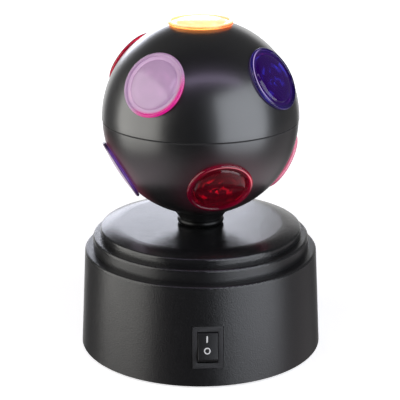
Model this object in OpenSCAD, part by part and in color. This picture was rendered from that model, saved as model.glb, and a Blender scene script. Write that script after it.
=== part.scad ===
// Rotating disco ball light on a stepped round base. Sizes in mm, +Z up, floor at z = 0, front at -Y.

/* [Ball] */
// Outside diameter of the upper half of the ball
ball_d = 100; // [84:1:116]
// Wall of the moulded ball halves
shell_wall = 2; // [1.6:0.1:3]
// Overhang of the upper half past the lower half at the seam
seam_step = 0.3; // [0.1:0.05:0.8]
// Open line left at the seam
seam_gap = 0.25; // [0.1:0.05:0.6]
// Height of the tongue inside the seam
tongue_h = 3; // [2:0.25:6]
// Thickness of the tongue
tongue_t = 1; // [0.8:0.1:1.2]
// Turn of the ball about its spindle at rest
ball_turn = -35.4; // [-180:0.1:180]

/* [Lenses] */
// Diameter over the rim of each coloured lens
lens_d = 32.7; // [28:0.1:35]
// Thickness of the rounded lens rim
lens_rim_t = 1.9; // [1.4:0.1:2.6]
// Reach of the rim past the plug that sits in the shell
lens_overhang = 2.1; // [1.8:0.1:3]
// Lift of the rim above its flat seat
lens_stand = 0.25; // [0.1:0.05:0.6]
// Depth of the lens plug behind the seat
lens_plug_h = 3.2; // [2.4:0.1:5]
// Wall of the lens plug
lens_plug_t = 1.3; // [1:0.1:1.8]
// Diameter of the raised crown on the lens face
lens_crown_d = 25; // [20:0.5:25.5]
// Height of the crown
lens_crown_h = 1.7; // [1:0.1:2.4]
// Height of the web between crown and rim above the seat
lens_web_h = 1.5; // [1.2:0.1:2]
// Depth of the prism rings on the back of the lens
lens_prism_h = 0.9; // [0.4:0.1:1.4]
// Width of one prism ring
lens_prism_w = 2.4; // [1.6:0.2:4]
// Width of the flat seat round each lens bore
lens_seat_w = 1.5; // [1:0.1:2]
// Latitude of the two lens rings above and below the seam
lens_lat = 31; // [28:0.5:36]
// Turn of the lower lens ring against the upper one
lens_stagger = 45.2; // [30:0.1:60]

/* [Base] */
// Diameter over the top edge of the drum
base_top_d = 120.2; // [110:0.2:140]
// Widening of the drum from its top edge to its foot, on the radius
base_draft = 2.7; // [0.5:0.1:5]
// Height of the drum wall
body_h = 51.3; // [50:0.1:70]
// Width of the ledge between drum and ring
ring_step = 4.3; // [3:0.1:6]
// Height of the ring step
ring_h = 7; // [5:0.1:10]
// Width of the ledge between ring and top disc
disc_step = 3.9; // [3:0.1:6]
// Height of the top disc
disc_h = 5.8; // [5:0.1:8]
// Width of the crowned edge of the top disc
crown_w = 9; // [5:0.25:12]
// Fall of the disc over its crowned edge
crown_drop = 1.45; // [0.6:0.05:2]
// Rounding of the step edges
edge_r = 1.2; // [0.5:0.1:2]
// Wall of the base moulding
base_wall = 2.4; // [2:0.1:3]
// Thickness of the bottom plate
plate_t = 3; // [2.6:0.1:4]
// Diameter of the rubber feet
foot_d = 10; // [8:0.5:12]
// Height of the feet below the plate
foot_h = 1; // [0.6:0.1:3]
// Depth of the sockets that hold the feet
foot_sink = 1; // [0.6:0.1:1.4]
// Diameter of the screw bosses
boss_d = 7.6; // [7:0.2:9]
// Distance of the boss axes from the inside of the wall
boss_in = 6; // [5:0.25:8]
// Thickness of the ribs that tie the bosses to the wall
rib_t = 2; // [1.4:0.1:3]

/* [Neck] */
// Diameter of the round collar under the ball
collar_d = 24.1; // [22:0.1:30]
// Height of the collar
collar_h = 3.2; // [2.4:0.1:6]
// Inset of the waist above the collar
waist_in = 0.85; // [0.4:0.05:1.5]
// Outward reach of the cone from the waist to the ball
flare_out = 4.2; // [2:0.1:6]
// Distance from the top of the collar to the lowest point of the ball
neck_h = 2.9; // [1:0.1:8]
// Gap between top disc and collar
neck_gap = 0.2; // [0.15:0.05:0.6]
// Diameter of the threaded spigot inside the ball
spigot_d = 16; // [14:0.5:17]
// Thickness of the flat inside the ball that the ring nut clamps
neck_land = 2; // [1.5:0.1:3]
// Height of the ring nut
ring_nut_h = 3; // [2:0.25:5]
// Wall of the ring nut
ring_nut_t = 4; // [3:0.25:5]

/* [Drive] */
// Diameter of the turning spindle in its bush
spindle_d = 12; // [11.5:0.5:13]
// Bore of the spindle
spindle_bore = 8.6; // [8.4:0.1:9]
// Diameter of the fixed lamp post
post_d = 7.8; // [7:0.1:8.2]
// Bore of the lamp post
post_bore = 5; // [4.5:0.1:5.6]
// Diameter of the post flange on the chassis
post_flange_d = 15; // [12:0.5:20]
// Thickness of the post flange
post_flange_t = 2; // [1.5:0.1:3]
// Length of the post below the chassis
post_tail = 5.5; // [5:0.1:8]
// Height of the hex nut on the post
post_nut_h = 4; // [3:0.25:4.5]
// Width across the corners of the hex nut
post_nut_d = 15; // [13:0.5:18]
// Outside diameter of the neck bush
bush_d = 15; // [14.6:0.1:16]
// Length of the neck bush
bush_l = 11.4; // [9:0.1:13]
// Diameter of the bush flange
bush_flange_d = 18; // [17.5:0.1:21]
// Thickness of the bush flange
bush_flange_t = 1; // [0.8:0.1:1.4]
// Wall of the housing boss round the bush
bush_boss_t = 3; // [2:0.1:5]
// Module of the gear pair
gear_m = 1; // [0.9:0.05:1.1]
// Teeth on the spindle gear
gear_teeth = 42; // [36:1:46]
// Teeth on the motor pinion
pinion_teeth = 14; // [13:1:16]
// Face width of the spindle gear
gear_w = 5; // [4:0.25:6]
// Extra face width of the pinion at each end
pinion_over = 0.5; // [0:0.1:1]
// Backlash of the gear pair
backlash = 0.3; // [0.2:0.02:0.4]
// Diameter of the gear hub
hub_d = 18; // [17:0.5:22]
// Height of the gear hub
hub_h = 2; // [1.5:0.1:4]
// Width over the two driving flats of the spindle
flats_w = 10.8; // [10.4:0.1:11.2]
// Thickness of the retaining clip
clip_t = 0.8; // [0.6:0.1:1]
// Outside diameter of the retaining clip
clip_d = 17; // [15:0.5:20]
// Depth of the clip groove
groove_in = 1; // [0.6:0.1:1.2]
// Opening of the retaining clip
clip_open = 7; // [5:0.5:9]
// Direction of the motor seen from above
pinion_dir = 225; // [215:1:235]
// Diameter of the motor output shaft
shaft_d = 3; // [2.5:0.1:4]
// Length of the gearbox
gearbox_h = 9; // [8:0.5:12]
// Width of the gearbox and the motor
gearbox_w = 12; // [11:0.5:14]
// Depth of the gearbox and the motor
gearbox_d = 10; // [9:0.5:12]
// Length of the motor can
motor_h = 15; // [12:0.5:16]
// Height of the end cap under the motor can
motor_cap_h = 1.2; // [0.8:0.1:1.6]
// Gap between the foot of the spindle and the post flange
end_gap = 1; // [0.6:0.1:1.6]
// Length of the spindle below its clip groove
spindle_tail = 0.8; // [0.6:0.1:1.4]
// Web between the lightening holes of the chassis plate
hole_web = 1.1; // [0.8:0.1:3]
// Spacing of the gearbox screws
gearbox_pitch = 9; // [8:0.25:9]
// Thickness of the chassis plate
chassis_t = 2.5; // [2:0.1:3.5]
// Diameter of the chassis pillars
pillar_d = 7.2; // [6.6:0.1:8]

/* [Switch] */
// Height of the switch centre above the floor
switch_z = 21.3; // [19:0.1:26]
// Depth of the flat switch recess at its middle
recess_sink = 1.3; // [1:0.05:1.6]
// Lean of the recess past the slope of the drum wall
recess_lean = 2.2; // [0:0.1:4]
// Thickness of the panel behind the recess
panel_t = 2; // [1.6:0.1:3]
// Width of the switch bezel
bezel_w = 15; // [14.4:0.1:17]
// Height of the switch bezel
bezel_h = 21.6; // [21:0.1:24]
// Thickness of the switch bezel
bezel_t = 1.1; // [0.8:0.05:1.2]
// Width of the switch barrel
barrel_w = 12.8; // [12.4:0.1:13.4]
// Height of the switch barrel
barrel_h = 19; // [18.8:0.1:19.6]
// Depth of the switch barrel
barrel_l = 13; // [11:0.25:16]
// Width of the rocker
rocker_w = 9.8; // [9:0.1:10]
// Swing radius of the rocker ends
rocker_r = 8.1; // [7.8:0.05:8.2]
// Depth of the rocker pivot below the bezel face
pivot_depth = 3.4; // [3:0.1:4]
// Diameter of the rocker pivot
pivot_d = 2.4; // [1.8:0.1:3]
// Tilt of the rocker to each side
rocker_tilt = 11; // [8:0.5:12]
// Height of the pressed half of the rocker over the bezel
rocker_proud = 0.3; // [0.1:0.05:0.8]
// Width of the switch terminals
tab_w = 4.8; // [4:0.1:6]
// Thickness of the switch terminals
tab_t = 0.8; // [0.6:0.1:1]
// Length of the switch terminals
tab_l = 7.5; // [6:0.25:9]
// Spacing of the switch terminals
tab_pitch = 9; // [7:0.25:11]

/* [Batteries] */
// Diameter of one cell
cell_d = 14.5; // [13.5:0.1:15]
// Length of one cell over its button
cell_l = 50.5; // [48:0.1:52]
// Diameter of the cell button
button_d = 5.5; // [4.5:0.1:7]
// Height of the cell button
button_h = 1.2; // [0.8:0.1:2]
// Working length of the contact springs
spring_l = 6; // [5:0.1:8]
// Wire of the contact springs
spring_wire = 0.8; // [0.6:0.05:1]
// Thickness of the contact plates
contact_t = 0.5; // [0.3:0.05:0.8]
// Height of the solder tags over the bay
tag_h = 3; // [2:0.25:5]
// Width of the solder tags
tag_w = 4; // [3:0.25:6]
// Free room round the cells
cell_room = 0.6; // [0.4:0.1:1.2]
// Wall of the battery bay
bay_wall = 2; // [1.6:0.1:2.6]
// Roof of the battery bay
roof_t = 1.6; // [1.2:0.1:2.2]
// Diameter of the inner leads
lead_d = 1.3; // [0.9:0.1:1.5]
// Diameter of the two lamp leads in the post
lamp_lead_d = 1; // [0.8:0.1:1.2]
// Distance of the bay centre behind the ball axis
bay_y = 16; // [14:0.5:18]
// Thickness of the battery door
door_t = 1.8; // [1.6:0.1:2]
// Width of the ledge that the door lies on
door_ledge = 1.3; // [1:0.1:1.5]
// Length of the tongues at the rear edge of the door
door_tongue = 2; // [1:0.1:3]
// Radius of the screw tab of the door
door_tab_r = 5; // [4.5:0.25:7]

/* [Lamp] */
// Width of the lamp block across its corners
block_d = 18; // [16:0.5:24]
// Height of the lamp block
block_h = 18; // [14:0.5:22]
// Depth of the socket on the post
block_socket = 6; // [4:0.5:8]
// Side of one square light emitter
led_w = 5; // [3:0.25:6]
// Height of one light emitter
led_h = 1.6; // [1:0.1:2.4]
// Diameter of the lens on each emitter
led_lens_d = 3.6; // [2:0.1:4.6]

/* [Fasteners] */
// Shank of the plate and door screws
screw_d = 3; // [2.6:0.1:3.2]
// Head of the plate and door screws
screw_head_d = 5.6; // [5:0.1:6]
// Height of those heads
screw_head_h = 1.2; // [1:0.1:1.4]
// Bite of the plate screws in their bosses
screw_bite = 9; // [6:0.5:14]
// Bite of the door screw in its boss
door_bite = 5; // [4:0.5:6]
// Shank of the chassis screws
pillar_screw_d = 2.5; // [2.2:0.1:3]
// Bite of the chassis screws in the pillars
pillar_bite = 8; // [5:0.5:12]
// Shank of the gearbox screws
small_screw_d = 1.6; // [1.4:0.1:2]
// Bite of the gearbox screws
small_bite = 4; // [3:0.25:6]

/* [Fits] */
// Running clearance of spindle, shaft and pivot, on the radius
run_fit = 0.05; // [0.03:0.01:0.1]
// Running clearance between turning faces
run_gap = 0.1; // [0.05:0.01:0.15]
// Clearance of pushed-in pieces, on the radius
push_fit = 0.15; // [0.05:0.05:0.2]
// Clearance of screws in their holes, on the radius
screw_fit = 0.08; // [0.05:0.01:0.2]
// Clearance round the plate and the door
cover_gap = 0.25; // [0.15:0.05:0.4]
// Clearance round the moving rocker
rocker_gap = 0.25; // [0.2:0.05:0.4]

/* [Hidden] */
$fn = 96;

// Base levels and radii
z0 = foot_h;
zb = z0 + body_h;
zr = zb + ring_h;
zd = zr + disc_h;
top_r = base_top_d / 2;
foot_r = top_r + base_draft;
ring_r = top_r - ring_step;
disc_r = ring_r - disc_step;
wall_slope = atan(base_draft / body_h);
function wall_r(z) = top_r + base_draft * (zb - z) / body_h;
function wall_in(z) = wall_r(z) - base_wall;

// Crowned edge of the top disc: a wide arc that runs into the rounded edge
crown_r = (pow(crown_w, 2) + pow(crown_drop, 2)) / (2 * crown_drop);
crown_turn = asin(crown_w / crown_r);
crown_end = disc_r - edge_r * (1 - sin(crown_turn));
crown_start = crown_end - crown_w;
crown_low = zd - crown_drop - edge_r * cos(crown_turn);

// Neck, spindle and drive levels, from the top disc down
collar_z = zd + neck_gap;
collar_top = collar_z + collar_h;
collar_r = collar_d / 2;
waist_r = collar_r - waist_in;
bush_top = collar_z - run_gap;
bush_bot = bush_top - bush_l;
hub_top = bush_bot - run_gap;
gear_top = hub_top - hub_h;
gear_bot = gear_top - gear_w;
clip_top = gear_bot - run_gap;
clip_slack = 0.05;
spindle_bot = clip_top - clip_t - 2 * clip_slack - spindle_tail;
chassis_top = spindle_bot - end_gap - post_flange_t;
chassis_bot = chassis_top - chassis_t;
motor_end = chassis_bot - gearbox_h - motor_h - motor_cap_h;
bush_boss_r = bush_d / 2 + bush_boss_t;

// Ball centre and radii
ball_r = ball_d / 2;
low_r = ball_r - seam_step;
in_r = low_r - shell_wall;
ball_z = collar_top + neck_h + low_r;
land_z = ball_z - in_r + neck_land;
nut_top = land_z + ring_nut_h;

// Lens radii
lens_r = lens_d / 2;
plug_r = lens_r - lens_overhang;
bore_r = plug_r + push_fit;
seat_r = bore_r + lens_seat_w;
function seat_of(r) = sqrt(r * r - seat_r * seat_r);

// Gear pair
gear_pr = gear_m * gear_teeth / 2;
pinion_pr = gear_m * pinion_teeth / 2;
gear_dist = gear_pr + pinion_pr;
pinion_at = gear_dist * [cos(pinion_dir), sin(pinion_dir), 0];
pressure = 25;
addendum = 0.9;
dedendum = 1.2;

// Plate, bosses and pillars
plate_r = wall_in(z0 + plate_t) - cover_gap;
boss_at = wall_in(z0) - boss_in;
foot_at = plate_r - foot_d / 2 - 3;
chassis_r = disc_r - base_wall - 1;
pillar_at = chassis_r - pillar_d / 2 - 1;
pillar_dirs = [30, 150, 270];
hole_at = chassis_r * 0.62;
hole_step = 35;

// Switch frame: origin on the drum wall, z outward, y up the wall
switch_r = wall_r(switch_z);
switch_tip = wall_slope + recess_lean;
bezel_face = bezel_t - recess_sink;
pivot_z = bezel_face - pivot_depth;
window_h = 2 * (sqrt(pow(rocker_r, 2) - pow(pivot_depth - bezel_t, 2)) + rocker_gap);
window_w = rocker_w + 2 * rocker_gap;
cavity_h = 2 * (rocker_r + rocker_gap);

// Battery bay
bay_l = cell_l + spring_l + 2 * contact_t;
bay_w = 3 * cell_d + 4 * cell_room;
bay_floor = z0 + door_t;
cell_z = bay_floor + cell_room / 2 + cell_d / 2;
bay_top = cell_z + cell_d / 2 + cell_room;
bay_roof = bay_top + roof_t;
bay_front = bay_y - bay_w / 2 - bay_wall;
cell_pitch = cell_d + cell_room;
cell_ys = [for (i = [-1:1]) bay_y + i * cell_pitch];
door_l = bay_l + 2 * door_ledge;
door_w = bay_w + 2 * door_ledge;
door_front = bay_y - door_w / 2;
door_back = bay_y + door_w / 2;
door_screw_y = door_front - door_tab_r + 1;
tongue_xs = [-16, 16];
tongue_w = 9;

// Lamp
post_top = ball_z - 4;
block_bot = post_top - block_socket;
face_at = block_d / 2 * cos(30);

// Helpers

// Profile corner rounded at the upper right
module round_corner(x, z, r) {
    difference() {
        translate([x - r, z - r]) square([r + 1, r + 1]);
        translate([x - r, z - r]) circle(r);
    }
}

// Pan head screw, head below z = 0 and shank upward
module screw(d, l, head_d, head_h) {
    difference() {
        union() {
            translate([0, 0, -head_h]) cylinder(d = head_d, h = head_h);
            cylinder(d = d, h = l);
        }
        for (a = [0, 90])
            rotate(a) translate([-head_d * 0.3, -head_d * 0.07, -head_h - 1])
                cube([head_d * 0.6, head_d * 0.14, 1 + head_h * 0.5]);
    }
}

module ring_of(n, r, first = 0) {
    for (i = [0:n - 1]) rotate(first + i * 360 / n) translate([r, 0, 0]) children();
}

// Moves from the ball centre frame to a lens axis, z outward
module on_ball(lon, lat) {
    translate([0, 0, ball_z]) rotate([0, 0, ball_turn + lon - 90]) rotate([0, 90 - lat, 0]) children();
}

module at_switch() {
    translate([0, -switch_r, switch_z]) rotate([90 - switch_tip, 0, 0]) children();
}

// Involute gear outline
function inv(a) = tan(a) - a * PI / 180;
function flank(r, rp, n) =
    let (rb = rp * cos(pressure), a = acos(min(1, rb / max(r, rb))))
    90 / n + (inv(pressure) - inv(a)) * 180 / PI - backlash / 4 / rp * 180 / PI;
function tooth(rp, n, mid, rs) = concat(
    [for (i = [0:len(rs) - 1]) rs[i] * [cos(mid - flank(rs[i], rp, n)), sin(mid - flank(rs[i], rp, n))]],
    [for (i = [len(rs) - 1:-1:0]) rs[i] * [cos(mid + flank(rs[i], rp, n)), sin(mid + flank(rs[i], rp, n))]]
);
function gear_outline(n) =
    let (rp = gear_m * n / 2, rb = rp * cos(pressure),
         rr = rp - dedendum * gear_m, ra = rp + addendum * gear_m,
         r1 = max(rb, rr + 0.1), rs = concat([rr], [for (k = [0:4]) r1 + (ra - r1) * k / 4]))
    [for (t = [0:n - 1]) each tooth(rp, n, t * 360 / n, rs)];

// Smooth route through chosen points
function spline(p, a, b, c, t) =
    0.5 * (2 * a + (b - p) * t + (2 * p - 5 * a + 4 * b - c) * t * t + (3 * a - p - 3 * b + c) * t * t * t);
function route(p, n) = concat(
    [for (i = [0:len(p) - 2], k = [0:n - 1])
        spline(p[max(i - 1, 0)], p[i], p[i + 1], p[min(i + 2, len(p) - 1)], k / n)],
    [p[len(p) - 1]]
);
function unit(v) = v / norm(v);
function tangents(q) = [for (i = [0:len(q) - 1]) unit(q[min(i + 1, len(q) - 1)] - q[max(i - 1, 0)])];
function square_to(t) = unit(cross(t, abs(t[2]) < 0.9 ? [0, 0, 1] : [1, 0, 0]));
function frames(t, i, u) =
    i >= len(t) ? [] :
    let (w = i == 0 ? square_to(t[0]) : unit(u - (u * t[i]) * t[i])) concat([w], frames(t, i + 1, w));

// Round tube swept along points
module tube(q, d, sides) {
    t = tangents(q);
    u = frames(t, 0, [1, 0, 0]);
    n = len(q);
    ring_pts = [for (i = [0:n - 1], k = [0:sides - 1])
        q[i] + d / 2 * (cos(k * 360 / sides) * u[i] + sin(k * 360 / sides) * cross(t[i], u[i]))];
    sides_f = [for (i = [0:n - 2], k = [0:sides - 1], h = [0, 1])
        let (a = i * sides + k, b = i * sides + (k + 1) % sides)
        h == 0 ? [a, a + sides, b] : [b, a + sides, b + sides]];
    caps = concat(
        [for (k = [1:sides - 2]) [0, k, k + 1]],
        [for (k = [1:sides - 2]) [(n - 1) * sides, (n - 1) * sides + k + 1, (n - 1) * sides + k]]
    );
    polyhedron(ring_pts, concat(sides_f, caps));
}

// Base

// What the crown and its rounded edge take off the disc's corner
module crowned_edge() {
    difference() {
        translate([crown_start, crown_low]) square([crown_w, zd + 1 - crown_low]);
        translate([crown_start, zd - crown_r]) circle(crown_r);
    }
    difference() {
        translate([crown_end, crown_low]) square([disc_r + 1 - crown_end, zd + 1 - crown_low]);
        translate([disc_r - edge_r, crown_low]) circle(edge_r);
    }
}

module base_profile() {
    difference() {
        polygon([
            [0, z0], [foot_r, z0], [top_r, zb], [ring_r, zb],
            [ring_r, zr], [disc_r, zr], [disc_r, zd], [0, zd]
        ]);
        polygon([
            [0, z0 - 1], [wall_in(z0 - 1), z0 - 1], [wall_in(zb - base_wall), zb - base_wall],
            [ring_r - base_wall, zb - base_wall], [ring_r - base_wall, zr - base_wall],
            [disc_r - base_wall, zr - base_wall], [disc_r - base_wall, zd - crown_drop - base_wall],
            [crown_start, zd - base_wall], [bush_boss_r, zd - base_wall], [bush_boss_r, bush_bot + 1.5], [0, bush_bot + 1.5]
        ]);
        round_corner(wall_r(zb - edge_r), zb, edge_r);
        round_corner(ring_r, zr, edge_r);
        crowned_edge();
        translate([-1, z0]) square([1 + bush_d / 2 + run_fit, zd]);
        translate([-1, bush_top - bush_flange_t]) square([1 + bush_flange_d / 2 + push_fit, zd]);
    }
}

module base_housing() color("#1b1b1d") difference() {
    union() {
        rotate_extrude() base_profile();
        for (a = [45:90:315]) rotate(a) {
            translate([boss_at, 0, z0 + plate_t]) cylinder(d = boss_d, h = zb - base_wall / 2 - z0 - plate_t);
            translate([boss_at, -rib_t / 2, z0 + plate_t + 2])
                cube([wall_in(zb) + base_wall / 2 - boss_at, rib_t, zb - base_wall / 2 - z0 - plate_t - 2]);
        }
        for (a = pillar_dirs) rotate(a)
            translate([pillar_at, 0, chassis_top])
                cylinder(d = pillar_d, h = zd - base_wall / 2 - chassis_top);
        at_switch() translate([-bezel_w / 2 - 3, -bezel_h / 2 - 3, -recess_sink - panel_t])
            cube([bezel_w + 6, bezel_h + 6, panel_t - 0.5]);
    }
    at_switch() {
        translate([-bezel_w / 2 - cover_gap, -bezel_h / 2 - cover_gap, -recess_sink])
            cube([bezel_w + 2 * cover_gap, bezel_h + 2 * cover_gap, recess_sink + 5]);
        translate([-barrel_w / 2 - push_fit, -barrel_h / 2 - push_fit, -recess_sink - panel_t - 8])
            cube([barrel_w + 2 * push_fit, barrel_h + 2 * push_fit, panel_t + 10]);
    }
    for (a = [45:90:315]) rotate(a) translate([boss_at, 0, z0 + plate_t - 1])
        cylinder(r = screw_d / 2 + screw_fit, h = screw_bite + 2);
    for (a = pillar_dirs) rotate(a) translate([pillar_at, 0, chassis_top - 1])
        cylinder(r = pillar_screw_d / 2 + screw_fit, h = pillar_bite + 2);
}

module door_outline(grow) {
    translate([-door_l / 2 - grow, door_front - grow]) square([door_l + 2 * grow, door_w + 2 * grow]);
    translate([0, door_screw_y]) circle(door_tab_r + grow);
}

module base_plate() color("#232325") difference() {
    union() {
        translate([0, 0, z0]) cylinder(r = plate_r, h = plate_t);
        translate([-bay_l / 2 - bay_wall, bay_y - bay_w / 2 - bay_wall, z0 + plate_t / 2])
            cube([bay_l + 2 * bay_wall, bay_w + 2 * bay_wall, bay_roof - z0 - plate_t / 2]);
        translate([0, door_screw_y, z0 + plate_t / 2])
            cylinder(d = boss_d, h = plate_t / 2 + door_bite - (plate_t - door_t) + 1.5);
    }
    translate([-bay_l / 2, bay_y - bay_w / 2, z0 - 1]) cube([bay_l, bay_w, bay_top - z0 + 1]);
    translate([0, 0, z0 - 1]) linear_extrude(door_t + 1) door_outline(cover_gap);
    for (x = tongue_xs) translate([x - tongue_w / 2 - cover_gap, door_back - 1, z0 + door_t / 2 - 0.1])
        cube([tongue_w + 2 * cover_gap, door_tongue + 1 + cover_gap, door_t / 2 + 0.2]);
    translate([0, door_screw_y, z0]) cylinder(r = screw_d / 2 + screw_fit, h = door_t + door_bite + 0.5);
    ring_of(4, foot_at) translate([0, 0, z0 - 1]) cylinder(r = foot_d / 2 + push_fit, h = foot_sink + 1);
    ring_of(4, boss_at, 45) {
        translate([0, 0, z0 - 1]) cylinder(r = screw_d / 2 + screw_fit, h = plate_t + 2);
        translate([0, 0, z0 - 1]) cylinder(r = screw_head_d / 2 + push_fit, h = 1 + screw_head_h + 0.4);
    }
    for (e = [[1, 0], [-1, 2]])
        translate([e[0] * (bay_l / 2 - contact_t / 2) - contact_t / 2 - push_fit,
                   cell_ys[e[1]] - tag_w / 2 - push_fit, bay_top - 1])
            cube([contact_t + 2 * push_fit, tag_w + 2 * push_fit, roof_t + 2]);
}

module feet() color("#101010") ring_of(4, foot_at) {
    translate([0, 0, z0]) cylinder(d = foot_d, h = foot_sink);
    cylinder(d1 = foot_d - 1, d2 = foot_d, h = foot_h);
}

module base_screws() color("silver") ring_of(4, boss_at, 45)
    translate([0, 0, z0 + screw_head_h + 0.4])
        screw(screw_d, plate_t - screw_head_h - 0.4 + screw_bite, screw_head_d, screw_head_h);

module battery_door() color("#2a2a2c") difference() {
    union() {
        translate([0, 0, z0]) linear_extrude(door_t) door_outline(0);
        for (x = tongue_xs) translate([x - tongue_w / 2, door_back - 1, z0 + door_t / 2])
            cube([tongue_w, door_tongue + 1, door_t / 2]);
    }
    translate([0, door_screw_y, z0 - 1]) {
        cylinder(r = screw_d / 2 + screw_fit, h = door_t + 2);
        cylinder(r = screw_head_d / 2 + push_fit, h = 1 + screw_head_h);
    }
    for (i = [-2:2]) translate([-10, door_front + 6 + i * 2, z0 - 1]) cube([20, 0.8, 1.4]);
}

module battery_door_screw() color("silver") translate([0, door_screw_y, z0 + screw_head_h])
    screw(screw_d, door_t - screw_head_h + door_bite, screw_head_d, screw_head_h);

// Power

// Turn of each cell: 1 points its button to +X
cell_ways = [1, -1, 1];

module battery_cells() color("#6a7f8c") for (i = [0:2])
    translate([-cell_ways[i] * (bay_l / 2 - contact_t - spring_l), cell_ys[i], cell_z])
        rotate([0, cell_ways[i] * 90, 0]) rotate_extrude() {
            difference() {
                square([cell_d / 2, cell_l - button_h]);
                round_corner(cell_d / 2, cell_l - button_h, 0.8);
                translate([cell_d / 2 - 1.4, cell_l - button_h - 0.4]) square([0.8, 1]);
            }
            translate([0, cell_l - button_h - 0.1]) square([button_d / 2, button_h + 0.1]);
        }

// One contact plate at the bay end way, spanning cells a to b
module contact(way, a, b, tag) {
    x = way * (bay_l / 2 - contact_t / 2);
    y1 = cell_ys[a] - cell_d / 2 + 2;
    y2 = cell_ys[b] + cell_d / 2 - 2;
    translate([x - contact_t / 2, y1, cell_z - cell_d / 2 + 1.5]) cube([contact_t, y2 - y1, cell_d - 3]);
    if (tag) translate([x - contact_t / 2, (y1 + y2) / 2 - tag_w / 2, cell_z])
        cube([contact_t, tag_w, bay_roof + tag_h - cell_z]);
}

module contact_plates() color("#c9c9c4") {
    contact(1, 0, 0, true);
    contact(-1, 0, 1, false);
    contact(1, 1, 2, false);
    contact(-1, 2, 2, true);
}

// Conical spring: wide turn on the plate, narrow turn on the cell
spring_turns = 3;
spring_r1 = 5.2;
spring_r2 = 2.6;
function spring_path() = [for (i = [0:spring_turns * 10])
    let (f = i / (spring_turns * 10), r = spring_r1 + (spring_r2 - spring_r1) * f)
    [r * cos(360 * spring_turns * f), r * sin(360 * spring_turns * f),
     spring_wire / 2 + (spring_l - spring_wire) * f]];

module contact_springs() color("#b9bcc0") for (i = [0:2])
    translate([-cell_ways[i] * (bay_l / 2 - contact_t), cell_ys[i], cell_z])
        rotate([0, cell_ways[i] * 90, 0]) tube(spring_path(), spring_wire, 6);

// Switch

module switch_body() color("#161617") at_switch() difference() {
    union() {
        translate([-bezel_w / 2, -bezel_h / 2, -recess_sink]) cube([bezel_w, bezel_h, bezel_t]);
        translate([-barrel_w / 2, -barrel_h / 2, -recess_sink - barrel_l])
            cube([barrel_w, barrel_h, barrel_l]);
        for (s = [-1, 1]) translate([-3, s * barrel_h / 2, -recess_sink - panel_t - push_fit])
            rotate([0, 90, 0]) linear_extrude(6)
                polygon([[0, -s * 0.5], [0, s * 0.9], [3.5, 0], [3.5, -s * 0.5]]);
    }
    translate([-window_w / 2, -window_h / 2, bezel_face - bezel_t - 0.5])
        cube([window_w, window_h, bezel_t + 5]);
    translate([-window_w / 2, -cavity_h / 2, pivot_z - rocker_r * 0.6 - rocker_gap])
        cube([window_w, cavity_h, bezel_face - bezel_t - pivot_z + rocker_r * 0.6 + rocker_gap]);
    translate([0, 0, pivot_z]) rotate([0, 90, 0])
        cylinder(r = pivot_d / 2 + run_fit, h = barrel_w - 0.6, center = true);
}

module switch_terminals() color("#d2c9a8") at_switch() for (s = [-1, 1]) difference() {
    translate([-tab_w / 2, s * tab_pitch / 2 - tab_t / 2, -recess_sink - barrel_l - tab_l])
        cube([tab_w, tab_t, tab_l]);
    translate([0, s * tab_pitch / 2, -recess_sink - barrel_l - tab_l + 3]) rotate([90, 0, 0])
        cylinder(d = 1.6, h = 4, center = true);
}

module rocker_profile() {
    h = (pivot_depth + rocker_proud) / cos(rocker_tilt);
    intersection() {
        circle(rocker_r);
        polygon([
            [-rocker_r - 1, -rocker_r * 0.3], [-3, -rocker_r * 0.55], [3, -rocker_r * 0.55],
            [rocker_r + 1, -rocker_r * 0.3], [rocker_r + 1, h + (rocker_r + 1) * tan(rocker_tilt)],
            [0, h], [-rocker_r - 1, h + (rocker_r + 1) * tan(rocker_tilt)]
        ]);
    }
}

module switch_rocker() color("#202022")
    at_switch() translate([0, 0, pivot_z]) rotate([-rocker_tilt, 0, 0]) union() {
        rotate([90, 0, 90]) translate([0, 0, -rocker_w / 2]) linear_extrude(rocker_w) rocker_profile();
        rotate([0, 90, 0]) cylinder(d = pivot_d, h = barrel_w - 1, center = true);
    }

// Drive

module chassis_plate() color("#8d9196") difference() {
    translate([0, 0, chassis_bot]) cylinder(r = chassis_r, h = chassis_t);
    translate([0, 0, chassis_bot - 1]) {
        cylinder(r = post_d / 2 + push_fit, h = chassis_t + 2);
        for (a = pillar_dirs) rotate(a) translate([pillar_at, 0, 0])
            cylinder(r = pillar_screw_d / 2 + screw_fit, h = chassis_t + 2);
        translate(pinion_at) rotate(pinion_dir) {
            cylinder(d = shaft_d + 3, h = chassis_t + 2);
            for (s = [-1, 1]) translate([0, s * gearbox_pitch / 2, 0])
                cylinder(r = small_screw_d / 2 + screw_fit, h = chassis_t + 2);
        }
        for (a = [90, 0, -hole_step, 180]) rotate(a) translate([hole_at, 0, 0])
            cylinder(d = 2 * hole_at * sin(hole_step / 2) - hole_web, h = chassis_t + 2);
    }
}

module chassis_screws() color("silver") for (a = pillar_dirs) rotate(a) translate([pillar_at, 0, chassis_bot])
    screw(pillar_screw_d, chassis_t + pillar_bite, pillar_screw_d * 2, pillar_screw_d * 0.6);

module gearbox() color("#c8b070") translate(pinion_at) rotate(pinion_dir) difference() {
    translate([-gearbox_d / 2, -gearbox_w / 2, chassis_bot - gearbox_h])
        cube([gearbox_d, gearbox_w, gearbox_h]);
    translate([0, 0, chassis_bot - gearbox_h + 1]) cylinder(r = shaft_d / 2 + run_fit, h = gearbox_h);
    for (s = [-1, 1]) translate([0, s * gearbox_pitch / 2, chassis_bot - small_bite - 0.5])
        cylinder(r = small_screw_d / 2 + screw_fit, h = small_bite + 1);
}

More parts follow.
